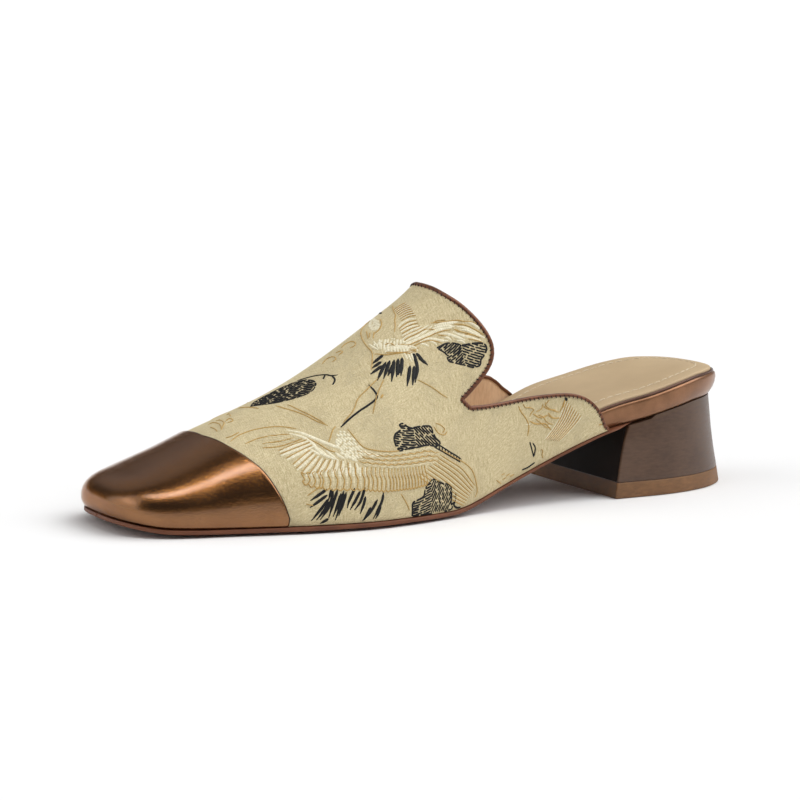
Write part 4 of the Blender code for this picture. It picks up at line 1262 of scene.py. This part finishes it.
def binding_solid():
    edge, n, away, _ = collar_frame(BINDING_STEPS)
    rise = np.interp(np.abs(collar_line(BINDING_STEPS)[0]), (0.70, 0.76), (1.0, QUARTER_RISE))
    through, off = BINDING[None, :, :1], BINDING[None, :, 1:]
    off = np.where(off > 0, off * rise[:, None, None], off)
    return tube(edge[:, None] + n[:, None] * through + away[:, None] * off)


def collar_stitches():
    """Slanted dark stitches that hold the binding, on its outer face."""
    edge, n, away, way = collar_frame(900)
    far = lengths(edge)
    bag = Bag()
    for at in np.arange(1.5, far[-1] - 1.5, STITCH_PITCH):
        i = int(np.searchsorted(far, at))
        path = np.array([edge[i] + n[i] * t + away[i] * a + way[i] * w for t, a, w in STITCH_STEPS])
        bag.add(cord(path, n[i], 0.19, 6, 0.5))
    return bag.solid()


CAP_UNDER = 0.06  # heights over the cloth: the cap's underside, its back edge, and the swell of its face
CAP_BACK = 0.22
CAP_SWELL = 0.45
CAP_ROUNDING = 0.5


def cap_solid():
    """Leather cap lying on the cloth, its back edge rounded over."""
    lines = 120
    u = both_sides(even_u(lines + 1, U_END))
    start = cap_edge(u)
    share = np.concatenate([[0.0, 0.004, 0.012, 0.03, 0.06], np.linspace(0.1, 1.0, 22)])
    x = start[:, None] + (TOE_X - start[:, None]) * share[None, :]
    x = np.hstack([x, np.tile(toe_steps(40), (len(u), 1))])
    u = np.tile(u[:, None], (1, x.shape[1]))
    face = upper_point(x, u)
    out = grid_normals(face)
    back = x - start[:, None]
    ease = np.sqrt(np.clip(1 - (1 - np.clip(back / CAP_ROUNDING, 0.0, 1.0)) ** 2, 0.0, 1.0))
    high = CAP_BACK + CAP_SWELL * ease
    return shell(face + out * high[..., None], face + out * CAP_UNDER)


def cap_rim():
    """Dark painted edge along the back of the cap."""
    u = np.linspace(U_END - 0.02, -U_END + 0.02, 220)
    x = cap_edge(u) - 0.10
    n = outward(x, u)
    return cord(upper_point(x, u) + n * CAP_BACK, n, 0.2, 6)


# The pieces
BROCADE_THICK = 0.9
LINING_GAP = 0.04
x, u = upper_grid(lines=150, long_rows=84, toe_rows=26)
outer = upper_point(x, u)
inward = -grid_normals(outer)
flat = np.stack([x.ravel(), cloth_across(x.ravel(), u.ravel())], -1)
piece("brocade_upper", shell(outer, outer + inward * BROCADE_THICK), brocade_look(), "upper",
      np.vstack([flat, flat]))
thin = slice(None, None, 2)
lining_look = streaked_look(
    "lining_leather", rgb(222, 182, 144), rgb(243, 207, 170),
    rough=0.62, relief=0.05, stretch=(1.0, 0.16, 0.3),
)
outer, inward = outer[:, thin], inward[:, thin]
lining = shell(outer + inward * (BROCADE_THICK + LINING_GAP), outer + inward * WALL)
piece("lining", lining, lining_look, "upper")

THREADS = {
    "black": (rgb(7, 7, 8), rgb(17, 17, 18), 0.6, 0.0),
    "gold": (rgb(168, 134, 72), rgb(206, 170, 102), 0.45, 0.1),
    "cream": (rgb(218, 208, 174), rgb(240, 233, 208), 0.5, 0.2),
    "pale": (rgb(200, 185, 145), rgb(224, 212, 177), 0.5, 0.2),
}
bags = woven_figures()
for name, settings in THREADS.items():
    piece("figure_" + name, bags[name].solid(), thread_look("thread_" + name, *settings),
          flat=np.concatenate(bags[name].flat), sharp=75.0)

piece("bronze_toe_cap", cap_solid(), bronze_look(), "toe_cap", sharp=60.0)
rim_paint = streaked_look(
    "edge_paint", rgb(46, 28, 18), rgb(70, 44, 30),
    rough=0.5, relief=0.02, stretch=(1.0, 1.0, 0.3),
)
piece("cap_edge", cap_rim(), rim_paint, sharp=75.0)

binding_look = leather_look(
    "binding_leather", rgb(92, 54, 35), rgb(124, 78, 54),
    rough=0.36, grain=0.6, relief=0.03, metal=0.5, coat=0.2,
)
piece("bound_collar", binding_solid(), binding_look, "collar_binding")
stitch_look = streaked_look(
    "dark_stitch", rgb(34, 18, 14), rgb(60, 34, 26),
    rough=0.6, relief=0.04, stretch=(1.0, 1.0, 0.3),
)
piece("collar_stitches", collar_stitches(), stitch_look, sharp=75.0)

sole_look = streaked_look(
    "sole_rubber", rgb(96, 54, 33), rgb(120, 71, 45),
    rough=0.5, relief=0.03, stretch=(0.2, 0.2, 1.0),
)
piece("sole", outsole_solid(), sole_look, "outsole")
rim_look = leather_look(
    "rim_leather", rgb(120, 82, 54), rgb(150, 106, 74),
    rough=0.34, grain=0.7, relief=0.02, metal=0.7, coat=0.3,
)
piece("insole_rim", footbed_solid(), rim_look, "footbed")
piping = outline(-0.48, "sock", footbed_top(0.42), 84.0, 0.8)
piping_look = leather_look(
    "piping_leather", rgb(74, 48, 36), rgb(98, 66, 48),
    rough=0.4, grain=0.7, relief=0.02, metal=0.5, coat=0.2,
)
piece("rim_piping", cord(piping, UPRIGHT, 0.5, 10), piping_look)
sock_look = leather_look(
    "sock_leather", rgb(180, 156, 122), rgb(195, 171, 135),
    rough=0.58, grain=0.9, relief=0.03, spread=24.0,
)
sock = piece("padded_sock", sock_solid(), sock_look, "sock_lining", sharp=65.0)
seam_look = streaked_look(
    "cream_stitch", rgb(196, 178, 148), rgb(218, 204, 178),
    rough=0.6, relief=0.05, stretch=(1.0, 1.0, 0.4),
)
piece("sock_stitches", sock_stitches(), seam_look, sharp=75.0)

heel_look = streaked_look(
    "heel_leather", rgb(72, 50, 35), rgb(88, 64, 47),
    rough=0.38, relief=0.02, stretch=(0.25, 0.25, 1.0), coat=0.15,
)
piece("covered_heel", heel_solid(), heel_look, "heel_block")
# Painted shade: the near-black panel on the heel's breast stands in for the shade under the arch.
breast_shade_look = streaked_look(
    "breast_painted_shade", rgb(24, 17, 13), rgb(34, 25, 19),
    rough=0.6, relief=0.02, stretch=(1.0, 0.25, 1.0), gloss=0.1,
)
piece("painted_shade_breast", painted_shade_breast(), breast_shade_look)
lift_look = streaked_look(
    "lift_rubber", rgb(106, 74, 46), rgb(130, 93, 60),
    rough=0.55, relief=0.03, stretch=(0.3, 0.3, 1.0),
)
piece("heel_lift", lift_solid(), lift_look, "top_lift")

# Floor, camera and light
FLOOR_LEVEL = -1e-4
SWEEP_ROWS = (  # metres from the middle, and up
    (3.2, 0.0), (3.9, 0.03), (4.4, 0.1), (4.9, 0.24), (5.25, 0.42), (5.5, 0.6), (5.6, 0.8),
)
SWEEP_SIDES = 48
FLOOR_SHADE = 0.9


def swept_floor():
    """Pale floor, flat around the shoe and swept up far away."""
    turn = np.linspace(0.0, 2 * np.pi, SWEEP_SIDES, endpoint=False)
    points = [
        (far * np.cos(t), far * np.sin(t), rise + FLOOR_LEVEL)
        for far, rise in SWEEP_ROWS for t in turn
    ]
    faces = [list(range(SWEEP_SIDES))]
    for ring in range(len(SWEEP_ROWS) - 1):
        for side in range(SWEEP_SIDES):
            a, b = ring * SWEEP_SIDES + side, ring * SWEEP_SIDES + (side + 1) % SWEEP_SIDES
            faces.append([a, a + SWEEP_SIDES, b + SWEEP_SIDES, b])
    mesh = bpy.data.meshes.new("floor")
    mesh.from_pydata(points, [], faces)
    mesh.polygons.foreach_set("use_smooth", [True] * len(faces))
    look = Look("floor", Roughness=0.7, Specular_IOR_Level=0.1)
    look.shader.inputs["Base Color"].default_value = (FLOOR_SHADE, FLOOR_SHADE, FLOOR_SHADE, 1.0)
    mesh.materials.append(look.material)
    made = bpy.data.objects.new("floor", mesh)
    bpy.context.scene.collection.objects.link(made)
    return made


floor = swept_floor()

AZIMUTH, LIFT_ANGLE, CAMERA_ROLL = np.radians(30.4), np.radians(8.83), np.radians(1.06)
FOCAL_PIXELS, PHOTO_WIDE, DISTANCE = 3081.0, 800.0, 1091.7
TARGET = np.array([132.6, 0.2, 36.6])
front = np.array([np.sin(AZIMUTH), np.cos(AZIMUTH), 0.0])
back = front * np.cos(LIFT_ANGLE) + UPRIGHT * np.sin(LIFT_ANGLE)
level = np.array([-np.cos(AZIMUTH), np.sin(AZIMUTH), 0.0])
up = np.cross(back, level)
roll_cos, roll_sin = np.cos(CAMERA_ROLL), np.sin(CAMERA_ROLL)
right, up = level * roll_cos + up * roll_sin, up * roll_cos - level * roll_sin
camera = bpy.data.objects.new("camera", bpy.data.cameras.new("camera"))
bpy.context.scene.collection.objects.link(camera)
camera.data.sensor_width = 36.0
camera.data.lens = FOCAL_PIXELS * camera.data.sensor_width / PHOTO_WIDE
camera.data.clip_start, camera.data.clip_end = 0.05, 60.0
place = (TARGET + MOVE + back * DISTANCE) * MM
axes = np.stack([right, up, back], 1)
camera.matrix_world = Matrix([[*row, place[i]] for i, row in enumerate(axes)] + [[0, 0, 0, 1]])
bpy.context.scene.camera = camera

AMBIENT = 0.09
SOFTBOXES = (  # degrees right of the camera, degrees up, radius of the even part and of the edge, strength
    (-74.0, 8.0, 34.0, 45.0, 1.0),
    (-66.0, 46.0, 14.0, 25.0, 0.85),
    (-45.0, 76.0, 6.0, 10.0, 2.8),
    (-5.0, 75.0, 6.0, 10.0, 3.1),
    (29.0, 73.0, 6.0, 10.0, 4.5),
    (90.0, 48.0, 24.0, 34.0, 3.1),
    (146.0, 52.0, 14.0, 28.0, 1.0),
    (-152.0, 42.0, 8.0, 28.0, 0.32),
    (-16.0, 2.0, 6.0, 13.0, 0.4),
    (18.0, 2.0, 6.0, 13.0, 0.4),
)
world = bpy.data.worlds.new("studio")
bpy.context.scene.world = world
world.use_nodes = True
nodes, links = world.node_tree.nodes, world.node_tree.links
sky = nodes.new("ShaderNodeTexCoord").outputs["Generated"]


def softbox(turn, lift, even, edge, strength):
    """Round patch of light in the studio's sky."""
    t, e = np.radians(turn), np.radians(lift)
    toward = (front * np.cos(t) + level * np.sin(t)) * np.cos(e) + UPRIGHT * np.sin(e)
    facing = nodes.new("ShaderNodeVectorMath")
    facing.operation = "DOT_PRODUCT"
    links.new(sky, facing.inputs[0])
    facing.inputs[1].default_value = tuple(toward)
    fade = nodes.new("ShaderNodeMapRange")
    fade.interpolation_type = "SMOOTHSTEP"
    links.new(facing.outputs["Value"], fade.inputs["Value"])
    fade.inputs["From Min"].default_value = np.cos(np.radians(edge))
    fade.inputs["From Max"].default_value = np.cos(np.radians(even))
    fade.inputs["To Max"].default_value = strength
    return fade.outputs[0]


light = None
for row in SOFTBOXES:
    added = nodes.new("ShaderNodeMath")
    links.new(softbox(*row), added.inputs[0])
    if light is None:
        added.inputs[1].default_value = AMBIENT
    else:
        links.new(light, added.inputs[1])
    light = added.outputs[0]
nodes["Background"].inputs["Color"].default_value = (1.0, 1.0, 1.0, 1.0)
links.new(light, nodes["Background"].inputs["Strength"])
bpy.context.scene.view_settings.view_transform = "Standard"

bpy.context.view_layer.update()
